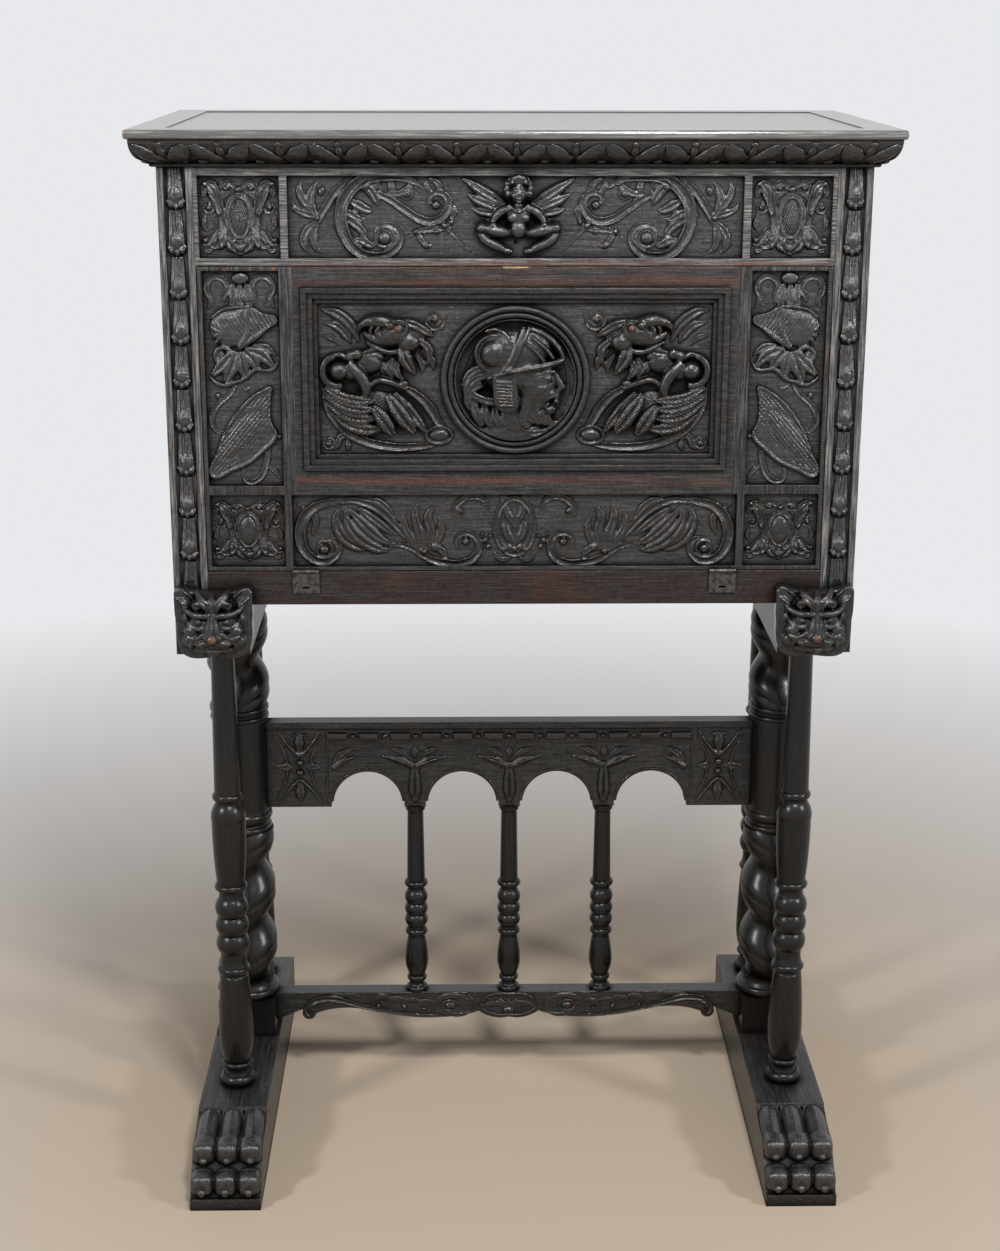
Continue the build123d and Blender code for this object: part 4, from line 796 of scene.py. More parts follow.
# ------------------------------------------------------------------ lower frieze
def lower_scrolls():
    """One hand of the lower rinceau, drawn from the middle of the frieze outwards."""
    return [
        strokes("channel",
                [(204, 37, 2.2), (226, 35, 4.2), (248, 27, 5.4), (261, 8, 6.0), (262, -16, 6.0),
                 (251, -34, 5.2), (235, -40, 4.6), (221, -34, 3.8), (216, -22, 3.2), (224, -12, 2.6),
                 (236, -13, 2.2), (243, -22, 1.8)],
                [(222, 30, 2.2), (204, 37, 3.4), (184, 34, 3.8), (165, 24, 3.8), (148, 8, 3.6),
                 (134, -8, 3.2), (118, -22, 3.0)],
                [(158, -26, 1.6), (146, -19, 2.6), (132, -21, 3.0), (118, -29, 3.4), (104, -37, 4.0),
                 (84, -42, 4.8), (64, -42, 4.8), (49, -34, 4.4), (44, -19, 4.0), (51, -7, 3.4),
                 (64, -5, 3.0), (72, -14, 2.6), (68, -24, 2.0)],
                [(32, 25, 1.8), (38, 37, 3.0), (52, 42, 3.8), (67, 35, 3.6), (74, 24, 3.0),
                 (69, 17, 2.2), (61, 20, 1.6)]),
        strokes("leaf",
                [(214, 29, 2.0), (219, 12, 5.4), (211, -8, 7.6), (194, -21, 6.4), (176, -26, 0.9)],
                [(184, 37, 1.6), (170, 37, 4.4), (157, 27, 5.2), (146, 12, 1.0)],
                [(208, 20, 2.4, 0.8), (202, 4, 7.0, 1.2), (188, -12, 8.0, 1.2), (170, -23, 6.4, 0.6),
                 (154, -27, 1.4)],
                [(202, 26, 2.0, 0.8), (190, 12, 6.0, 1.2), (176, -2, 7.0, 1.2), (160, -14, 4.6, 0.6),
                 (147, -17, 1.0)],
                [(192, 28, 1.8, 0.6), (180, 19, 5.0, 1), (166, 8, 5.6, 1), (152, -3, 3.4), (142, -8, 0.9)],
                [(268, 33, 0.8), (262, 30, 2.4), (252, 24, 2.0)],
                [(112, -26, 2.4), (117, -4, 6.0), (122, 18, 5.0), (118, 34, 1.0)],
                [(108, -26, 2.4), (103, -4, 6.0), (106, 18, 5.2), (96, 33, 1.0)],
                [(106, -26, 2.2), (93, -10, 4.8), (90, 6, 4.0), (95, 18, 0.9)],
                [(114, -26, 2.2), (129, -8, 5.0), (136, 10, 4.4), (133, 26, 0.9)],
                [(202, 30, 1.6), (206, 20, 4.0), (202, 8, 0.8)],
                [(84, -40, 1.6), (88, -28, 4.4), (99, -18, 4.6), (96, -8, 0.9)],
                [(252, 26, 1.6), (244, 14, 4.4), (246, 0, 3.6), (250, -8, 0.8)]),
        ball(234, -24, 6.4, 6.4, 6.4), ball(60, -15, 5.4, 5.4, 5.6), ball(98, -22, 4.6, 6.2, 4.8),
        ball(66, 24, 4.0, 4.0, 4.2), ball(36, -13, 4.2, 4.2, 4.4), ball(32, -21, 3.8, 3.8, 4.0),
        ball(30, -8, 2.8, 2.8, 3.0), ball(40, -5, 2.8, 2.8, 2.8), ball(111, -27, 4.6, 4.6, 5.6),
        strokes("reed", loop(234, -24, 9.6, 9.6, 1.3, 0.6)),
    ]


def lower_middle():
    """Oval cartouche at the middle of the lower frieze; one hand of it."""
    return [
        strokes("leaf",
                [(1.5, -18, 1.4, 1.5), (8, -8, 4.6, 1.5), (11, 4, 4.0, 1), (8, 13, 0.8)],
                [(1.5, 6, 1.2, 1.5), (7, 16, 4.0, 1.5), (10, 26, 3.0, 1), (6, 32, 0.8)],
                [(4, -36, 1.4), (14, -38, 3.6), (22, -34, 3.0), (27, -26, 0.8)],
                [(6, 42, 1.2), (14, 41, 3.0), (20, 36, 0.8)]),
        ball(6, -22, 3.6, 4.4, 4.0), ball(13, -25, 3.2, 3.2, 3.6),
    ]


lower_place = on_front(0, lower_frieze_z, ground_depth)
set_pair(carve("lower_scroll_right", lower_scrolls(), 0.95), "lower_scroll_left", lower_place,
         "fall", carved_deep)
half_oval = lower_middle()
oval = half_oval + other_hand(half_oval) + [
    strokes("channel", loop(0, 4, 23, 35, 3.2, 0, count=16)),
    strokes("reed", [(0, -20, 1.8, 1.5), (0, 0, 1.6, 1.5), (0, 20, 1.4, 1.5), (0, 32, 0.8)]),
    ball(0, -24, 3.4, 4.2, 5.0), ball(0, 4, 2.6, 2.6, 4.4), ball(0, 4, 20, 32, 1.6),
]
set_piece(carve("lower_oval", oval, 0.9), lower_place, "fall", carved_deep)


# ------------------------------------------------------------------ side panels with arms
shield_outline = [(33, -9), (14, -19), (-6, -38), (-23, -64), (-34, -92), (-42, -118), (-18, -111),
                  (4, -101), (22, -86), (37, -68), (31, -54), (29, -36), (31, -20)]
shield_middle = (-6, -66)
shield_along = (0.643, 0.766)       # direction of its length
shield_half = (58, 20)              # half length and width of its hatched face
helmet_heights = (42, 82)
hatched_above = 3.2


def helmet_fan():
    """Short reeds that fan out from the helmet's side."""
    x, y = -21, 55
    return [[(x, y, 1.2, 5.6), (x + 8 * cos(bearing), y + 9 * sin(bearing), 1.8, 5.6),
             (x + 15 * cos(bearing), y + 17 * sin(bearing), 1.0, 5.0)]
            for bearing in map(radians, range(40, 221, 30))]


def trophy():
    """Helmet, gorget and shield tied with ribbons, the helmet looking to the right."""
    return [
        strokes("channel",
                [(-33, 88, 1.6), (-36, 97, 2.6), *loop(-28, 109, 12.5, 13, 3.0, 0, 200, -250, 8),
                 (-20, 92, 1.6)],
                [(17, 90, 1.6), *loop(26, 110, 12.5, 12.5, 3.0, 0, 215, -270, 8), (33, 92, 2.2),
                 (26, 88, 1.4)],
                [(-8, -3, 2.0), (-16, -17, 2.6), (-34, -34, 3.0), (-40, -50, 3.0), (-34, -63, 2.4),
                 (-24, -66, 1.4)],
                [(38, -70, 1.8), (29, -80, 3.0), (25, -100, 3.2), (17, -120, 3.4), (3, -126, 3.0),
                 (-4, -116, 2.4), (-1, -106, 1.4)],
                [(26, -106, 1.6), (34, -112, 2.6), (42, -122, 1.6)]),
        strokes("leaf",
                [(-9, 114, 2.0, 1), (-9, 98, 4.4, 1), (-12, 82, 3.0, 1)],
                [(-1, 114, 2.2, 1), (-1, 98, 4.6, 2), (-2, 82, 3.0, 2)],
                [(7, 114, 2.0, 1), (8, 98, 4.4, 1), (11, 84, 3.0, 1)],
                [(-10, 34, 4.0, 2), (-24, 18, 7.5, 2), (-37, 5, 3.0, 1)],
                [(-7, 34, 4.0, 2), (-14, 14, 8.0, 2), (-21, -3, 4.0, 1)],
                [(-3, 34, 4.0, 2), (0, 18, 8.0, 2), (2, 3, 4.0, 1)],
                [(2, 34, 4.0, 2), (12, 24, 8.0, 2), (17, 13, 4.0, 1)],
                [(6, 36, 4.0, 2), (22, 30, 8.0, 2), (36, 16, 3.0, 1)],
                [(12, 40, 3.0, 1), (28, 38, 5.0, 1), (41, 28, 1.4)],
                [(-4, -8, 1.2), (3, -12, 3.0), (8, -10, 0.9)],
                [(-40, 84, 1.2), (-36, 94, 3.2), (-40, 106, 0.9)],
                [(40, 84, 1.2), (36, 94, 3.2), (40, 104, 0.9)]),
        strokes("reed",
                [(-40, 3, 1.4, 1), (-31, -5, 2.2, 1.5), (-22, -7, 2.4, 1.5), (-10, -3, 2.2, 1.5),
                 (0, 0, 2.2, 1.5), (8, 7, 2.2, 1.5), (15, 12, 2.2, 1.5), (25, 11, 2.2, 1.5),
                 (36, 12, 2.0, 1), (42, 21, 1.2)],
                [(9, 88, 1.6, 5), (7, 74, 2.0, 7), (8, 60, 2.2, 7), (3, 48, 2.2, 6), (-4, 39, 2.4, 4)],
                [(-4, 39, 2.6, 4), (12, 48, 2.2, 4.5), (28, 60, 2.0, 4), (42, 72, 1.6, 2)],
                [(-36, 74, 1.4, 3), (-22, 84, 1.6, 5), (-6, 87, 1.6, 5), (9, 88, 1.6, 5)],
                loop(-23, 29, 10, 9.5, 2.6, 2),
                [(x, y, 2.0, 2.5) for x, y in shield_outline + shield_outline[:1]]),
        ball(-12, 62, 27, 23, 6, 0, 1), ball(12, 66, 12, 14, 5, 0, 1), ball(-15, 31, 5.4, 5.4, 6),
        strokes("reed", *helmet_fan()),
        ball(0, 121, 11, 7.5, 7, 0, 1), ball(-27, 29, 6, 6, 3), ball(-31, -20, 3.6, 4.4, 3.6),
        ball(6, 36, 4.0, 4.0, 7), ball(3, 78, 10, 10, 6.4), ball(42, -70, 3.2, 3.2, 3.6),
        ball(-3, -104, 3.2, 3.2, 3.2),
        plate([(8, 86), (26, 80), (43, 73), (26, 58), (10, 46), (-2, 40), (4, 62)], 5.0),
        plate(shield_outline, 3.2),
        ball(-6, -68, 17, 46, 6.0, -40),
    ]


def hatch_arms(piece):
    """Cuts crossing strokes into the shield's face and fine ones into the helmet."""
    for vertex in piece.data.vertices:
        x, y, z = vertex.co
        if z <= hatched_above:
            continue
        off_x, off_y = x - shield_middle[0], y - shield_middle[1]
        along = off_x * shield_along[0] + off_y * shield_along[1]
        across = off_x * shield_along[1] - off_y * shield_along[0]
        if (along / shield_half[0]) ** 2 + (across / shield_half[1]) ** 2 < 1:
            depth = 0.55 + 0.45 * sin(along * 1.3 + 3 * sin(across * 0.75))
            vertex.co.z += 0.75 * sin(across * 1.5) * depth - 0.3
        elif helmet_heights[0] < y < helmet_heights[1]:
            vertex.co.z += 0.45 * sin(1.2 * x + 0.7 * y + 2 * sin(0.11 * y))


# The masks pass under these panels when the fall lies open, so the relief is kept low.
low_relief = 5.0                    # height from which it is pressed down
relief_left = 2.2                   # what stays of anything higher


def press_down(piece):
    """Presses high relief down softly."""
    for vertex in piece.data.vertices:
        over = vertex.co.z - low_relief
        if over > 0:
            vertex.co.z = low_relief + relief_left * (1 - exp(-over / relief_left))


side_panel_z = 1068.8
arms = carve("side_arms_left", trophy(), 0.9, soften=2)
hatch_arms(arms)
press_down(arms)
arms_right = copy_of(arms, "side_arms_right")
set_piece(arms, on_front(-lower_corner_x, side_panel_z, ground_depth), "fall", carved)
set_piece(arms_right, on_front(lower_corner_x, side_panel_z, ground_depth) @ flip_x, "fall", carved)


# ------------------------------------------------------------------ middle panel, winged beasts
def beast():
    """Two beaked heads over a wing, right hand; drawn from the middle of the panel outwards."""
    return [
        # Upper head with its open beak, crest and hanging ear.
        ball(148, 54, 25, 15, 14, -12, 2), ball(128, 45, 15, 13, 12, 0, 1),
        ball(150, 66, 5.2, 5.2, 5.0, 0, 13), ball(139, 62, 6.2, 6.2, 5.0, 0, 12),
        strokes("reed",
                [(146, 66, 6.5, 7), (162, 71, 7.0, 8), (176, 70, 5.6, 7), (186, 63, 3.0, 5),
                 (188, 57, 1.4, 3)],
                [(144, 48, 6.0, 5), (160, 47, 5.6, 6), (173, 51, 4.4, 6), (181, 57, 1.8, 5)],
                [(178, 45, 1.6, 4), (164, 37, 2.6, 6), (147, 33, 3.0, 6), (133, 38, 2.6, 5)],
                loop(139, 62, 9.5, 9.0, 1.8, 10, 0, 360, 10),
                [(153, 62, 1.5, 13), (158, 57, 2.0, 13), (156, 50, 1.5, 12)],
                [(162, 64, 1.5, 12), (166, 59, 2.0, 12), (164, 52, 1.5, 11)],
                [(170, 64, 1.4, 10), (173, 60, 1.8, 10), (172, 55, 1.4, 9)]),
        strokes("leaf",
                [(136, 70, 3.0, 6), (122, 66, 5.6, 6), (106, 57, 4.6, 4), (97, 51, 1.0, 2)],
                [(134, 64, 2.4, 5), (120, 58, 4.0, 5), (108, 50, 1.0, 3)],
                [(135, 40, 4.0, 6), (132, 26, 8.0, 7), (124, 12, 5.0, 5), (119, 5, 1.2, 3)],
                [(116, 48, 3.0, 3), (104, 36, 5.4, 3), (104, 22, 3.0, 2), (110, 16, 0.9, 1)],
                [(112, 36, 2.2, 2), (100, 22, 4.4, 2), (98, 10, 0.9, 1)],
                [(120, 30, 2.2, 2), (112, 18, 4.2, 2), (112, 6, 0.9, 1)],
                # Feathered neck between the heads.
                [(158, 34, 3.0, 3), (172, 32, 6.0, 4), (184, 30, 3.0, 5)],
                [(146, 26, 2.4, 2), (152, 12, 5.6, 3), (146, 2, 2.0, 3)],
                [(140, 22, 2.4, 2), (142, 8, 5.0, 3), (136, 0, 1.6, 3)]),
        ball(163, 27, 7.0, 5.0, 7.0), ball(176, 20, 17, 15, 9.0), ball(150, 12, 14, 12, 5.0),
        # Lower head: brow balls, round eye in its crescent, and a hooked beak.
        ball(190, 31, 7.4, 7.4, 7.0, 0, 6), ball(198, 28, 6.4, 7.4, 6.0, 0, 6),
        ball(211, 11, 12.0, 11.4, 11.0, 0, 6), ball(196, 10, 14, 12, 10.0, 0, 2),
        strokes("reed",
                loop(214, 10, 17, 18, 4.2, 4, 80, -190, 9),
                [(200, 20, 5.0, 6), (190, 10, 6.6, 8), (183, 0, 6.4, 8), (179, -12, 5.4, 8),
                 (182, -22, 2.6, 6)],
                [(176, -10, 2.2, 6), (166, -1, 3.0, 8), (150, -3, 3.2, 8), (138, -8, 3.0, 6),
                 (130, -12, 2.2, 5)],
                [(222, 26, 2.4, 3), (210, 30, 3.2, 5), (200, 24, 2.4, 7)]),
        ball(134, -5, 6.6, 5.4, 7.0, 0, 2), ball(180, -15, 6.0, 7.6, 8.0, 0, 4),
        # Wing: coverts, long feathers and the three big tips.
        ball(198, -40, 32, 22, 8.0, 35), ball(160, -36, 26, 20, 6.0, 40),
        strokes("leaf",
                [(229, -10, 2.4, 5), (210, -20, 5.6, 7), (190, -25, 6.0, 8), (170, -26, 2.4, 6)],
                [(229, -20, 2.4, 5), (208, -31, 5.8, 7), (188, -36, 6.2, 8), (170, -36, 2.4, 7)],
                [(226, -30, 2.4, 4), (206, -43, 6.0, 6), (186, -48, 6.4, 7), (168, -46, 2.4, 6)],
                [(220, -42, 2.4, 3), (200, -56, 6.2, 5), (178, -61, 6.6, 6), (158, -58, 2.4, 5)],
                [(171, -32, 4.0, 8), (162, -44, 8.0, 10), (153, -58, 7.6, 10), (147, -68, 3.2, 7)],
                [(154, -18, 4.0, 7), (143, -34, 8.4, 10), (132, -50, 8.4, 10), (122, -64, 3.6, 7)],
                [(146, -16, 3.0, 5), (130, -34, 6.2, 7), (116, -52, 5.4, 7), (108, -64, 2.0, 5)],
                # Low feathers in the upper corner and leaves in the lower one.
                [(233, 84, 1.6), (214, 79, 6.4, 1), (196, 64, 6.6, 1), (187, 44, 1.8)],
                [(231, 68, 1.6), (214, 64, 5.4), (202, 52, 5.0), (196, 42, 1.2)],
                [(231, 52, 1.4), (221, 50, 4.0), (210, 40, 1.0)],
                [(200, -74, 1.4), (210, -70, 4.4, 1), (216, -82, 3.4, 1), (222, -88, 0.9)],
                [(204, -72, 1.2), (202, -82, 3.6, 1), (206, -89, 0.9)]),
        strokes("channel",
                [(230, -10, 2.0, 3), (226, -34, 3.6, 3), (212, -56, 4.4, 2), (188, -73, 4.8, 1),
                 (156, -82, 4.8), (124, -83, 4.2), (98, -80, 3.0), (80, -74, 1.6)],
                [(132, -10, 3.0, 4), (114, -22, 4.4, 3), (101, -38, 4.8, 2), (92, -54, 4.0, 1),
                 (84, -64, 2.0)],
                volute(97, 71, 11, 4, 200, 420, 3.2, 1.8),
                [(86, 68, 2.0), (80, 80, 1.2)], [(106, 64, 2.8), (114, 54, 2.0)]),
        strokes("reed", loop(92, -69, 16, 10.5, 1.8, 1.2, 0, 360, 14), loop(226, -79, 7, 7, 1.3, 0.4)),
        ball(92, -69, 12, 7.4, 4.4), ball(97, 71, 3.6, 3.6, 3.8), ball(226, -79, 4.2, 4.2, 3.8),
    ]


feathers_above = 3.5
wing_top_y = -14
corner_feathers = (188, 44)         # the upper feathers lie beyond this place


def mark_feathers(piece):
    """Cuts fine barbs across the wing and the upper feathers."""
    for vertex in piece.data.vertices:
        x, y, z = vertex.co
        in_corner = x > corner_feathers[0] and y > corner_feathers[1]
        if z > feathers_above and (y < wing_top_y or in_corner):
            vertex.co.z += 0.42 * sin(0.9 * x + 1.7 * y) * min(1.0, (z - feathers_above) / 2)


right_beast = carve("winged_beast_right", beast(), 0.9, soften=2)
mark_feathers(right_beast)
set_pair(right_beast, "winged_beast_left", on_front(0, middle_of("centre_panel", 2), centre_depth),
         "fall", carved_deep)


# ------------------------------------------------------------------ helmeted head in the medallion
def helmeted_head():
    """A calm bearded profile of a generic kind, looking right, in a crested helmet."""
    bars = [[(-24.5 + 0.25 * k, -2.5 - 3.5 * k, 0.9, 19), (-8.5 + 0.25 * k, -3.5 - 3.5 * k, 0.9, 19)]
            for k in range(8)]
    curls = [[(12 + 6 * k, -30 - 3 * k, 2.2, 12 - k), (10 + 7 * k, -39 - 2 * k, 3.6, 10 - k),
              (15 + 7 * k, -46 - k, 2.8, 8 - k), (20 + 7 * k, -43 - k, 1.0, 7 - k)] for k in range(4)]
    locks = [[(-34 - 3 * k, 12 - 9 * k, 3.0, 10 - k), (-48 - 2 * k, 8 - 11 * k, 4.6, 8 - k),
              (-57 + k, -2 - 12 * k, 3.6, 6), (-58 + 3 * k, -12 - 12 * k, 1.2, 4)] for k in range(3)]
    folds = [[(-48 + 11 * k, -24 - 3 * k, 3.0, 5), (-46 + 11 * k, -38 - 3 * k, 5.0, 6),
              (-40 + 11 * k, -52 - 3 * k, 2.4, 4)] for k in range(4)]
    return [
        # Skull, face, jaw and neck.
        ball(-8, 14, 36, 32, 18, 0, 2), ball(17, -8, 23, 27, 15, 0, 2), ball(13, -24, 21, 15, 12, 0, 2),
        ball(-4, -42, 20, 24, 10, 0, 0), ball(-6, -62, 42, 15, 8), ball(30, -4, 10, 16, 10, 0, 3),
        ball(21, -11, 9, 7, 6, 20, 12), ball(33, -33, 7, 6.4, 8, 0, 6),
        strokes("reed",
                [(37, 6, 2.6, 8), (42, -3, 3.2, 8), (45.5, -11, 3.8, 8)],
                [(37, -18.5, 2.4, 9), (42, -19.5, 2.2, 8)], [(37, -24.5, 2.4, 8.5), (41, -24.5, 2.2, 8)],
                [(24, 6.5, 2.0, 13), (31, 8.0, 2.4, 13), (38, 7.0, 2.0, 10)],
                [(25, 2.6, 0.9, 14.6), (29, 4.0, 1.1, 14.6), (34, 2.6, 0.9, 13)],
                [(25, -1.4, 0.8, 14.4), (29.5, -2.4, 1.0, 14.2), (34, -1.0, 0.8, 13)]),
        ball(29.5, 0.8, 4.6, 2.9, 3.4, 0, 13.4), ball(41.5, -12.5, 3.4, 2.8, 3.6, 0, 8),
        ball(8, -4, 5, 8, 3, 0, 14),
        # Moustache, beard and the hair behind.
        strokes("leaf",
                [(43, -15.5, 1.6, 9), (35, -17, 3.2, 11), (27, -22, 2.8, 11), (24, -28, 1.0, 10)],
                *curls, *locks,
                [(4, -30, 2.2, 12), (3, -42, 3.8, 10), (8, -51, 2.6, 8), (13, -49, 1.0, 7)]),
        strokes("leaf", *folds, [(4, -58, 3, 5), (16, -60, 5, 5), (30, -56, 2, 4)],
                [(24, -60, 2.4, 4), (36, -54, 4.0, 4), (46, -46, 1.4, 3)]),
        # Helmet: bowl, brim, crest straps, round boss and the barred cheek piece.
        ball(-12, 27, 37, 27, 19, 8, 3), ball(8, 30, 28, 24, 16, 20, 3),
        ball(-27, 27, 15.5, 15.5, 12, 0, 12),
        strokes("ridge",
                [(-34, 0, 2.4, 12), (-18, 6, 3.2, 18), (6, 11, 3.2, 19), (30, 15, 3.0, 15), (47, 20, 2.2, 9)],
                [(47, 20, 1.8, 9), (40, 34, 2.4, 12), (26, 47, 2.6, 13), (8, 54, 2.2, 12)]),
        strokes("reed",
                loop(-27, 27, 19, 19, 1.8, 12, 0, 360, 14),
                [(36, 22, 1.5, 15), (26, 34, 1.8, 17), (12, 45, 1.5, 16)],
                [(26, 19, 1.5, 18), (18, 29, 1.8, 19), (6, 39, 1.5, 18)],
                [(4, 55, 1.8, 12), (-2, 40, 2.2, 19), (-8, 24, 2.2, 21), (-18, 8, 1.8, 18)],
                [(10, 54, 1.6, 12), (4, 42, 2.0, 19), (-2, 28, 2.0, 21), (-8, 14, 1.6, 20)],
                [(-36, 50, 1.6, 6), (-22, 52, 2.0, 12), (-12, 44, 2.0, 17), (-6, 32, 1.6, 20)],
                [(-62, -6, 1.4, 4), (-50, -15, 1.8, 7), (-36, -21, 1.8, 10), (-25, -22, 1.4, 12)],
                [(-61, -11, 1.4, 4), (-49, -20, 1.8, 7), (-36, -26, 1.8, 10), (-25, -27, 1.4, 12)],
                [(-27, 2, 1.7, 17), (-26, -14, 1.8, 17), (-24, -27, 1.8, 16), (-15, -33, 1.8, 16),
                 (-5, -31, 1.8, 16), (-4, -16, 1.8, 17), (-6, 2, 1.7, 17)], *bars),
        plate([(-27, 4), (-26, -14), (-24, -28), (-15, -33), (-5, -31), (-4, -16), (-6, 4), (-16, 6)], 18),
        ball(-11, 10, 4.6, 4.6, 4.4, 0, 19),
    ]


roundel_reach = 73.0
roundel_rise = 2.0                  # the head's ground stands this far over the panel's
bowl_reach, bowl_half = 67.2, 6.4   # the bowl's rim: its middle line and half width
head_size = (1.13, 1.13, 1.05)      # it is drawn smaller on the bench
head_off = (5, 3, 0)


def keep_in_roundel(piece):
    """Brings what stands out past the ring back to it."""
    for vertex in piece.data.vertices:
        over = hypot(vertex.co.x, vertex.co.y) / roundel_reach
        if over > 1:
            vertex.co.x, vertex.co.y = vertex.co.x / over, vertex.co.y / over


roundel_place = on_front(0, middle_of("medallion", 2), centre_depth - roundel_rise)
head = carve("helmeted_head", helmeted_head(), 0.85, soften=2)
head.data.transform(Matrix.Translation(head_off) @ Matrix.Diagonal((*head_size, 1)))
keep_in_roundel(head)
set_piece(head, roundel_place, "fall", carved_deep)
# A cove round the ring deepens the bowl; its wood carries painted shade.
rim = strokes("cove", loop(0, 0, bowl_reach, bowl_reach, bowl_half, 0, 0, -360, 48), heft=1.0)
set_piece(carve("roundel_bowl", [rim], 0.9, soften=1), roundel_place, "fall", shaded_bowl_wood)


# ------------------------------------------------------------------ masks on the lopers
def grotesque():
    """Horned-browed mask with pointed ears, hooked nose and moustache; z = 0 is its back."""
    half = [
        strokes("channel", [(23, 24, 4.0, 17), (31, 31, 7.0, 19), (39, 37, 6.5, 15), (45, 42, 2.0, 9)]),
        strokes("reed",
                # Brow: from the root of the nose, rising outwards.
                [(3, 12, 2.2, 35), (9, 14.5, 3.2, 36), (20, 14.5, 3.6, 32), (31, 18, 3.0, 25),
                 (38, 24, 1.6, 18)],
                [(8, 25, 1.8, 35), (15, 29, 2.6, 33), (22, 26, 2.4, 30), (18, 21, 1.8, 31)],
                loop(16.5, 5.5, 7.4, 5.0, 1.3, 31, 0, 360, 12),
                [(7, 1, 1.6, 33), (14, -3, 2.6, 32), (24, -2, 2.8, 29), (32, 4, 1.6, 23)],
                [(6, -5, 2.4, 36), (14, -12, 3.2, 34), (24, -19, 3.2, 30), (29, -30, 2.2, 23)],
                [(41, 10, 1.6, 14), (44, -4, 2.4, 14), (43, -18, 2.6, 13), (38, -30, 1.8, 12)]),
        strokes("leaf",
                [(4, -27, 1.8, 30), (14, -31, 3.4, 28), (24, -30, 2.8, 23), (32, -26, 1.2, 18)],
                [(4, 20, 2.4, 36), (8, 29, 4.6, 36), (16, 38, 3.8, 28), (20, 44, 1.2, 18)]),
        ball(16.5, 5.5, 5.4, 4.2, 5.6, 0, 30), ball(17, 4, 12, 9, 8.5, 0, 24),
        ball(26, -8, 12, 10, 12, 20, 21), ball(28, -22, 13, 11, 12, 0, 14),
        ball(9, 3, 7, 8, 8, 0, 27), ball(6, -4, 6, 9, 8, 0, 29), ball(24, 0, 8, 8, 8, 0, 20),
        # Moustache: two smooth lobes that sweep out and up.
        ball(11, -21, 12, 5.6, 8.0, -8, 32), ball(25, -17, 10, 4.6, 7.0, 28, 27),
        ball(5.5, -11, 4.2, 3.8, 5.0, 0, 37),
        ball(7, -14, 5.2, 4.8, 6.0, 0, 36), ball(14, 25, 15, 10, 34), ball(33, 6, 10, 12, 22),
        ball(44, -9, 3.4, 4.0, 14), ball(43, -20, 3.4, 4.0, 14), ball(15, -34, 11, 8, 24),
    ]
    return half + other_hand(half) + [
        plate([(0, 38), (-24, 41), (-46, 43.5), (-47, 2), (-44, -30), (-36, -42), (0, -44),
               (36, -42), (44, -30), (47, 2), (46, 43.5), (24, 41)], 18, rounding=3),
        ball(0, -3, 41, 39, 31), ball(0, 27, 22, 13, 37), ball(0, -14, 7.6, 6.8, 7.0, 0, 41),
        ball(0, -39, 14, 5.5, 24),
        strokes("ridge", [(0, 20, 4.0, 35), (0, 8, 5.4, 37), (0, -3, 7.6, 39), (0, -13, 9.0, 40)]),
        strokes("reed",
                [(-15, -27, 1.6, 27), (-7, -25.5, 2.6, 32), (0, -25, 2.8, 33), (7, -25.5, 2.6, 32),
                 (15, -27, 1.6, 27)],
                [(-12, -32, 1.8, 27), (0, -33, 3.2, 31), (12, -32, 1.8, 27)]),
        strokes("leaf", [(0, 20, 1.8, 37), (0, 31, 4.4, 36), (0, 42, 1.6, 22)]),
    ]


mask_block = (47.9, 44.9, 49.9)     # half width, half height and depth of the block


def keep_in_block(piece):
    """Brings what stands out of the mask's block back to its sides."""
    for vertex in piece.data.vertices:
        vertex.co = [max(-reach, min(reach, value)) for value, reach in zip(vertex.co, mask_block)]
        vertex.co.z = max(vertex.co.z, 0)


mask_x = middle_of("mask_right", 0)
mask_middle_z = middle_of("mask_left", 2)
mask_back_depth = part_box("mask_left")[1].y / MM - face_y
mask_right = carve("carved_mask_right", grotesque(), 0.9, soften=2, floor_at=0.0)
keep_in_block(mask_right)
mask_left = copy_of(mask_right, "carved_mask_left")
for mask, sign, side in ((mask_left, -1, "left"), (mask_right, 1, "right")):
    set_piece(mask, on_front(sign * mask_x, mask_middle_z, mask_back_depth), "loper_" + side, mask_wood)
    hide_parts("mask_" + side)


# ------------------------------------------------------------------ husks on the stiles
def husk():
    """One open bell with its tongue; y runs up the stile."""
    half = [
        strokes("reed",
                [(1.7, 29, 0.9, 3.6), (2.0, 14, 1.1, 5.0), (2.4, 2, 1.0, 6.4)],
                [(6.2, 29, 1.1, 1.0), (7.0, 12, 1.3, 2.4), (8.0, -4, 1.4, 3.6), (8.4, -13, 1.0, 4.0)],
                heft=1.0),
        ball(5.6, -16.5, 4.4, 5.6, 6.8, 14, 1), ball(9.0, -13, 2.8, 3.8, 4.6, 30, 1),
    ]
    return half + other_hand(half) + [
        strokes("petal", [(0, 29, 6.2), (0, 14, 7.4, 0.8), (0, 0, 8.8, 2), (0, -10, 9.6, 2.4)], heft=1.0),
        ball(0, -6, 9.4, 13.5, 9.2), ball(0, -19.2, 3.6, 5.8, 7.0, 0, 0.6),
    ]


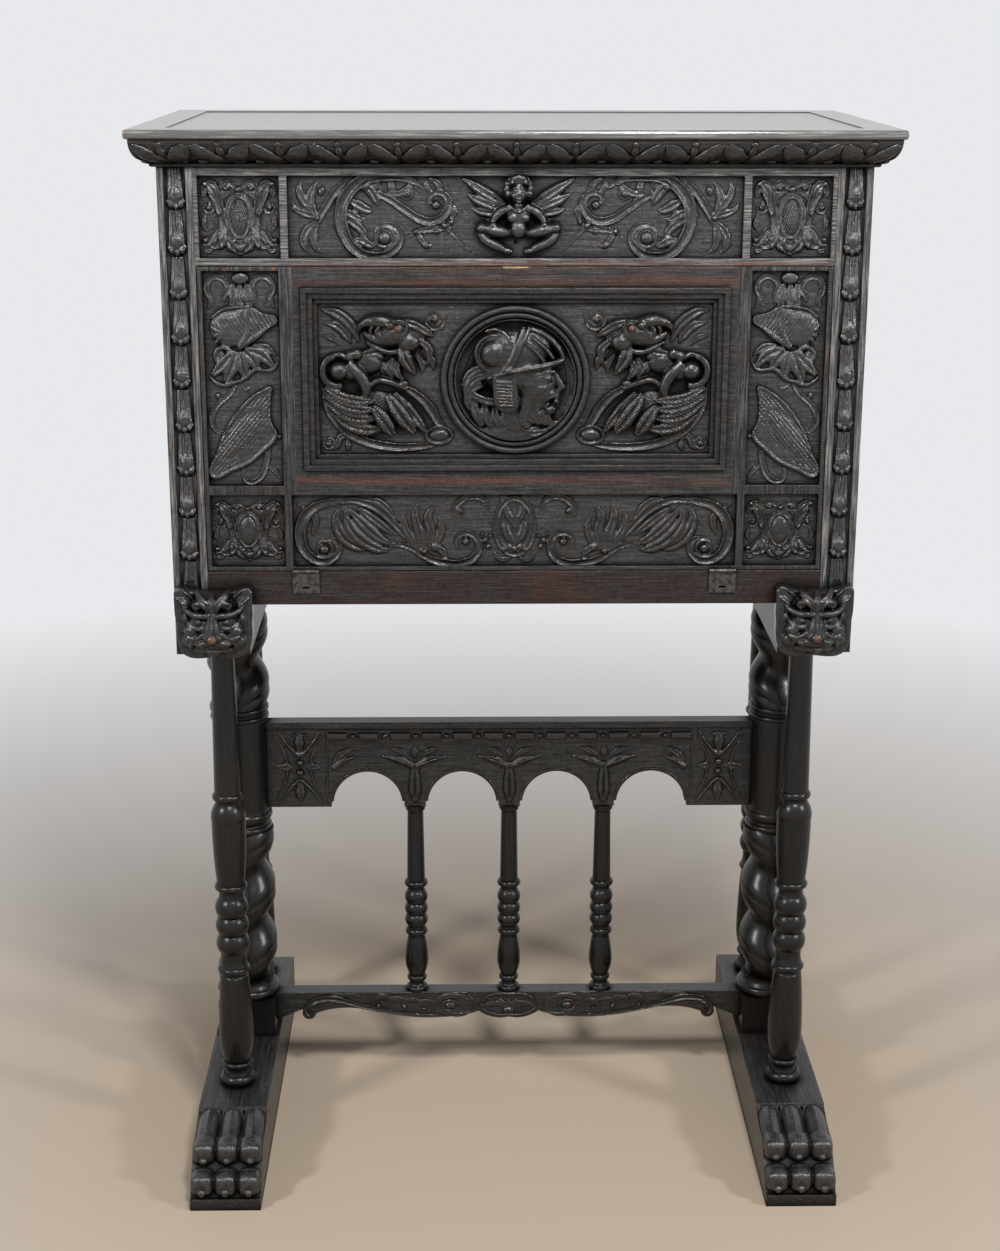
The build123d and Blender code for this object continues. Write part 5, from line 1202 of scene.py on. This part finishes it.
husk_count = 10
husk_depth = 5.0
husk_width = 25.5
husk_margin = 8.0                   # plain wood outside the chain
mask_top = 30.0                     # the masks' backs stand just off the stiles up to here
husk_left = 0.5                     # what stands out of the stile behind them
cornice_foot_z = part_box("cornice")[0].z / MM
cabinet_foot_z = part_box("stile_left")[0].z / MM
stile_outer_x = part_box("stile_right")[1].x / MM
husk_pitch = (cornice_foot_z - cabinet_foot_z) / husk_count
husk_x = stile_outer_x - husk_margin - husk_width / 2
one_husk = carve("husk", husk(), 0.8, soften=2)
for side, sign in (("left", -1), ("right", 1)):
    chain = []
    for link in range(husk_count):
        bell = copy_of(one_husk, "husk_" + side)
        lean = radians(1.6) * sin(5.1 * link + sign)
        size = 1 + 0.03 * sin(3.7 * link + 2 * sign)
        bell.matrix_world = (Matrix.Translation((0.5 * sin(2.3 * link), (link + 0.5) * husk_pitch, 0))
                             @ Matrix.Rotation(lean, 4, "Z") @ Matrix.Diagonal((size, size, 1, 1)))
        chain.append(bell)
    pick(*chain)
    bpy.ops.object.join()
    bpy.ops.object.transform_apply(location=True, rotation=True, scale=True)
    chain = bpy.context.object
    chain.name = chain.data.name = "husks_" + side
    for vertex in chain.data.vertices:
        if vertex.co.y < mask_top:
            vertex.co.z = min(vertex.co.z, husk_depth + husk_left)
    set_piece(chain, on_front(sign * husk_x, cabinet_foot_z, husk_depth), "root", carved)
bpy.data.objects.remove(one_husk)


# ------------------------------------------------------------------ leaves on the cornice
def cornice_leaves(pitch):
    """One length of the running leaf: two leaves in a V, a round tip and a small mound."""
    half = [
        strokes("petal", [(2, -14, 2.6), (9, -7, 9.0, 0.6), (19, 3, 9.6, 0.8), (30, 14.5, 2.6)],
                heft=1.0),
        strokes("reed", [(1, -13, 1.3), (5.5, -1, 1.7, 1.6), (15, 10, 1.7, 1.6), (28, 16.5, 1.0)],
                [(4, -16.5, 1.3), (17, -9.5, 1.8, 1.2), (28, 1, 1.8, 1.2), (33, 15, 1.0)],
                [(5, -12, 0.9, 2.6), (14, -2.5, 1.2, 3.8), (25, 9.5, 0.8, 2.4)], heft=1.0),
        ball(pitch / 2, -13.0, 6.5, 4.6, 3.4),
    ]
    return half + other_hand(half) + [
        ball(0, 15.5, 4.6, 3.4, 2.6), ball(0, 2, 2.6, 8, 2.4),
        strokes("leaf", [(0, -4, 2.0, 0.6), (0, 6, 4.6, 1.2), (0, 16, 1.4, 0.6)], heft=1.0),
    ]


ovolo_foot = (4.0, 6.0)             # projection and height where the ovolo starts
ovolo_nose = (27.5, 28.6)
ovolo_swell = 4.5
ovolo_run = (ovolo_nose[0] - ovolo_foot[0], ovolo_nose[1] - ovolo_foot[1])
ovolo_chord = hypot(*ovolo_run)
ovolo_radius = (ovolo_chord ** 2 / 4 + ovolo_swell ** 2) / (2 * ovolo_swell)
ovolo_side = (ovolo_run[1] / ovolo_chord, -ovolo_run[0] / ovolo_chord)
ovolo_middle = tuple((ovolo_foot[k] + ovolo_nose[k]) / 2 + ovolo_side[k] * (ovolo_swell - ovolo_radius)
                     for k in range(2))


def on_ovolo(y, z):
    """Projection and height of a bench point that lies y along the ovolo and z off it."""
    turn = y / ovolo_radius
    out = (ovolo_side[0] * cos(turn) - ovolo_side[1] * sin(turn),
           ovolo_side[0] * sin(turn) + ovolo_side[1] * cos(turn))
    reach = ovolo_radius + z
    return ovolo_middle[0] + out[0] * reach, ovolo_middle[1] + out[1] * reach


cabinet_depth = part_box("side_right")[1].y / MM - face_y
mean_reach = 16.0                   # projection at which the runs' lengths are taken


def run_of_leaves(name, count, length, world_of):
    """A mitred run of leaves; world_of places (share along the run, projection, height)."""
    pitch = length / count
    tile = carve(name, cornice_leaves(pitch), 0.9, soften=2, floor_at=-1.6)
    tiles = [tile] + [copy_of(tile, name) for k in range(count - 1)]
    for k, piece in enumerate(tiles):
        piece.location.x = (k + 0.5) * pitch
    pick(*tiles)
    bpy.ops.object.join()
    bpy.ops.object.transform_apply(location=True, rotation=True, scale=True)
    run = bpy.context.object
    run.name = run.data.name = name
    for vertex in run.data.vertices:
        x, y, z = vertex.co
        reach, height = on_ovolo(y, z)
        vertex.co = Vector(world_of(x / length, reach, height)) * MM
    return run


def along_front(share, reach, height):
    """Place on the front run, mitred at both ends."""
    return (2 * share - 1) * (stile_outer_x + reach), face_y - reach, cornice_foot_z + height


def along_side(share, reach, height):
    """Place on the right-hand run, mitred at its front end."""
    return stile_outer_x + reach, face_y - reach + share * (cabinet_depth + reach), cornice_foot_z + height


front_count, side_count = 13, 7
front_leaves = run_of_leaves("cornice_leaves_front", front_count, 2 * (stile_outer_x + mean_reach),
                             along_front)
set_piece(front_leaves, Matrix.Identity(4), "root", carved_deep)
side_leaves = run_of_leaves("cornice_leaves_right", side_count, cabinet_depth + mean_reach, along_side)
set_pair(side_leaves, "cornice_leaves_left", Matrix.Identity(4), "root", carved_deep)


# ------------------------------------------------------------------ arcade
arch_pitch = 132
arch_foot_y, arch_reach = -58.5, 51.2
bar_pitch, bar_y = 43.5, 42         # the row of bars and beads along the top
end_block_x = 292


def hanging_leaf(x):
    """Leaf between two arches."""
    return [(x, 4, 2.4, 1), (x, -18, 7.0), (x, -40, 8.0), (x, -57, 3.0)]


def bud(x):
    """Small leaf above a hanging leaf."""
    return [(x, 8, 1.6), (x, 18, 5.0), (x, 28, 1.2)]


def arcade_half():
    """Right half of the arcade's carving; y = 0 is its middle height."""
    arches = [loop(arch_pitch * k, arch_foot_y, arch_reach, arch_reach, 1.5, 0, 4, 172, 20)
              for k in (0.5, 1.5)]
    bars = [[(bar_pitch * k + 8, bar_y, 5.4, 0.8), (bar_pitch * k + 35, bar_y, 5.4, 0.8)]
            for k in range(6)]
    return [
        strokes("reed", *arches, [(0, 32, 1.0), (252, 32, 1.0)], [(0, 51, 1.0), (252, 51, 1.0)],
                [(254, -60, 1.6), (254, 51, 1.6)],
                # Crossed end block.
                [(262, 50, 1.6), (284, 20, 2.6, 1), (end_block_x, 14, 2.8, 1.4), (300, 20, 2.6, 1),
                 (322, 50, 1.6)],
                [(262, -58, 1.6), (284, -28, 2.6, 1), (end_block_x, -22, 2.8, 1.4), (300, -28, 2.6, 1),
                 (322, -58, 1.6)],
                [(260, 44, 1.2), (276, 8, 2.0, 0.6), (276, -14, 2.0, 0.6), (260, -52, 1.2)],
                [(326, 44, 1.2), (310, 8, 2.0, 0.6), (310, -14, 2.0, 0.6), (326, -52, 1.2)], heft=1.0),
        strokes("ridge",
                [(134, -3, 4.0, 1), (150, 5, 5.6, 1), (178, 13, 1.6)],
                [(130, -3, 4.0, 1), (114, 5, 5.6, 1), (86, 13, 1.6)],
                [(2, -3, 4.0, 1), (18, 5, 5.6, 1), (46, 13, 1.6)],
                [(246, -6, 4.0, 1), (234, 4, 5.0, 1), (214, 12, 1.6)]),
        strokes("leaf",
                hanging_leaf(arch_pitch),
                [(140, 12, 1.8), (152, 20, 4.6), (170, 24, 1.0)],
                [(124, 12, 1.8), (112, 20, 4.6), (94, 24, 1.0)],
                [(8, 12, 1.8), (20, 20, 4.6), (38, 24, 1.0)],
                bud(arch_pitch),
                [(246, 2, 2.0), (236, 14, 5.6), (222, 22, 3.0), (212, 24, 0.9)],
                [(end_block_x, 16, 1.8), (end_block_x, 32, 7.0), (end_block_x, 48, 2.0)],
                [(end_block_x, -24, 1.8), (end_block_x, -40, 7.0), (end_block_x, -56, 2.0)],
                [(284, -3, 1.6), (274, -3, 6.0), (262, -3, 1.6)],
                [(300, -3, 1.6), (312, -3, 6.0), (326, -3, 1.6)]),
        strokes("petal", *bars, heft=1.0),
        *[ball(bar_pitch * k, bar_y, 4.4, 4.4, 3.8) for k in range(1, 6)],
        ball(end_block_x, 3, 6.0, 5.4, 5.6), ball(end_block_x, -11, 6.0, 5.4, 5.6),
        ball(arch_pitch, 1, 4.4, 4.4, 4.6), ball(284, 44, 3.4, 3.0, 2.6), ball(300, 44, 3.4, 3.0, 2.6),
    ]


def arcade_middle():
    """Hanging leaf and beads over the middle spindle."""
    return [ball(0, bar_y, 4.4, 4.4, 3.8), ball(0, 1, 4.4, 4.4, 4.6),
            strokes("leaf", hanging_leaf(0), bud(0))]


arcade_half_thickness = 10.0
arcade_face = middle_of("arcade", 1) - arcade_half_thickness - face_y
arcade_right = arcade_half()
arcade_carving = carve("arcade_carving", arcade_right + other_hand(arcade_right) + arcade_middle(), 1.1,
                       soften=2)
set_piece(arcade_carving, on_front(0, middle_of("arcade", 2), arcade_face), "root", carved_deep)


# ------------------------------------------------------------------ stretcher
def stretcher_half():
    """Right half of the stretcher's leaf scroll; y = 0 is its middle height."""
    lobes = [[(200 - 22 * k, 4 - 3 * k, 1.4), (190 - 22 * k, 12 - 2 * k, 4.2),
              (176 - 22 * k, 14 - 3 * k, 3.0), (168 - 22 * k, 9 - 3 * k, 0.9)] for k in range(4)]
    return [
        strokes("channel",
                [(286, -16, 4.0), (291, -6, 4.8), (284, 5, 5.0), (266, 11, 5.0), (244, 9, 4.6), (218, 1, 4.0),
                 (190, -6, 3.6), (160, -12, 3.4), (128, -16, 3.0), (100, -17, 2.4)], heft=1.0),
        strokes("leaf", *lobes,
                [(262, 15, 1.4), (236, 17, 3.4), (212, 15, 0.9)],
                [(112, 2, 1.6), (96, 12, 4.6), (72, 14, 4.0), (56, 8, 0.9)],
                [(98, -6, 1.6), (88, -13, 3.8), (68, -15, 3.6), (52, -10, 0.9)], heft=1.0),
        strokes("reed", loop(84, -1, 12, 8, 1.6, 0.4), [(58, 16, 1.2), (50, 4, 1.8), (52, -8, 1.2)],
                [(250, 19.4, 0.9), (44, 19.4, 0.9)], heft=1.0),
        ball(84, -1, 8, 5, 3.2), ball(188, 0, 4, 4, 3.8), ball(150, -3, 4, 4, 3.8),
        ball(122, -5, 3.4, 3.4, 3.4),
    ]


def stretcher_shell():
    """Shell at the middle of the stretcher, its ribs inside a reeded rim."""
    ribs = [[(0, -4, 2.4, 0.6), (8 * k, 4 - 0.25 * k * k, 3.6, 0.6), (13 * k, 11 - 1.5 * k * k, 2.8)]
            for k in range(-3, 4)]
    return [
        strokes("petal", *ribs, heft=1.0),
        strokes("reed",
                [(-42, -2, 1.8, 0.6), (-30, 14, 2.0, 0.8), (0, 18, 2.2, 1), (30, 14, 2.0, 0.8),
                 (42, -2, 1.8, 0.6)],
                [(-40, -4, 1.8), (-26, -13, 2.2), (0, -16, 2.4), (26, -13, 2.2), (40, -4, 1.8)], heft=1.0),
        ball(0, -8, 9, 5, 4.4),
    ]


stretcher_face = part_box("stretcher")[0].y / MM - face_y
stretcher_right = stretcher_half()
stretcher_carving = carve("stretcher_carving",
                          stretcher_right + other_hand(stretcher_right) + stretcher_shell(), 0.95, soften=2)
set_piece(stretcher_carving, on_front(0, middle_of("stretcher", 2), stretcher_face), "root", carved_deep)


# ------------------------------------------------------------------ paws
toe_pitch = 30.4
toe_half = 14.9


def paw():
    """Three toes; x across the foot, y back from the tip, z up from the floor."""
    parts = []
    for toe in (-toe_pitch, 0, toe_pitch):
        parts += [
            block(toe, 18, toe_half, 17.5, 15.0, 32), ball(toe, 1.6, 5.0, 4.4, 5.0, 0, 24),
            block(toe, 46, toe_half, 17.0, 15.0, 61), ball(toe, 30.5, 4.6, 4.4, 5.0, 0, 53),
            strokes("reed",
                    [(toe, 50, toe_half, 54.5), (toe, 66, 14.8, 61.5), (toe, 86, 14.6, 67),
                     (toe, 104, 14.6, 69.5), (toe, 116, 14.6, 69.5)],
                    [(toe - 11, 23, 1.8, 45), (toe, 22, 2.2, 46.5), (toe + 11, 23, 1.8, 45)],
                    [(toe - 11, 55, 1.8, 73), (toe, 56, 2.2, 75), (toe + 11, 55, 1.8, 73)], heft=1.0),
        ]
    return parts


paw_x = middle_of("foot_right", 0)
foot_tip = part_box("foot_right")[0].y
paw_right = carve("paw_right", paw(), 1.2, soften=2, floor_at=16.5)
paw_left = copy_of(paw_right, "paw_left")
for piece, sign in ((paw_left, -1), (paw_right, 1)):
    place = Matrix.Translation((sign * paw_x * MM, foot_tip, 0)) @ Matrix.Scale(MM, 4)
    set_piece(piece, place, "root", paw_wood)


for outline_piece in cut_outlines.values():
    bpy.data.objects.remove(outline_piece)
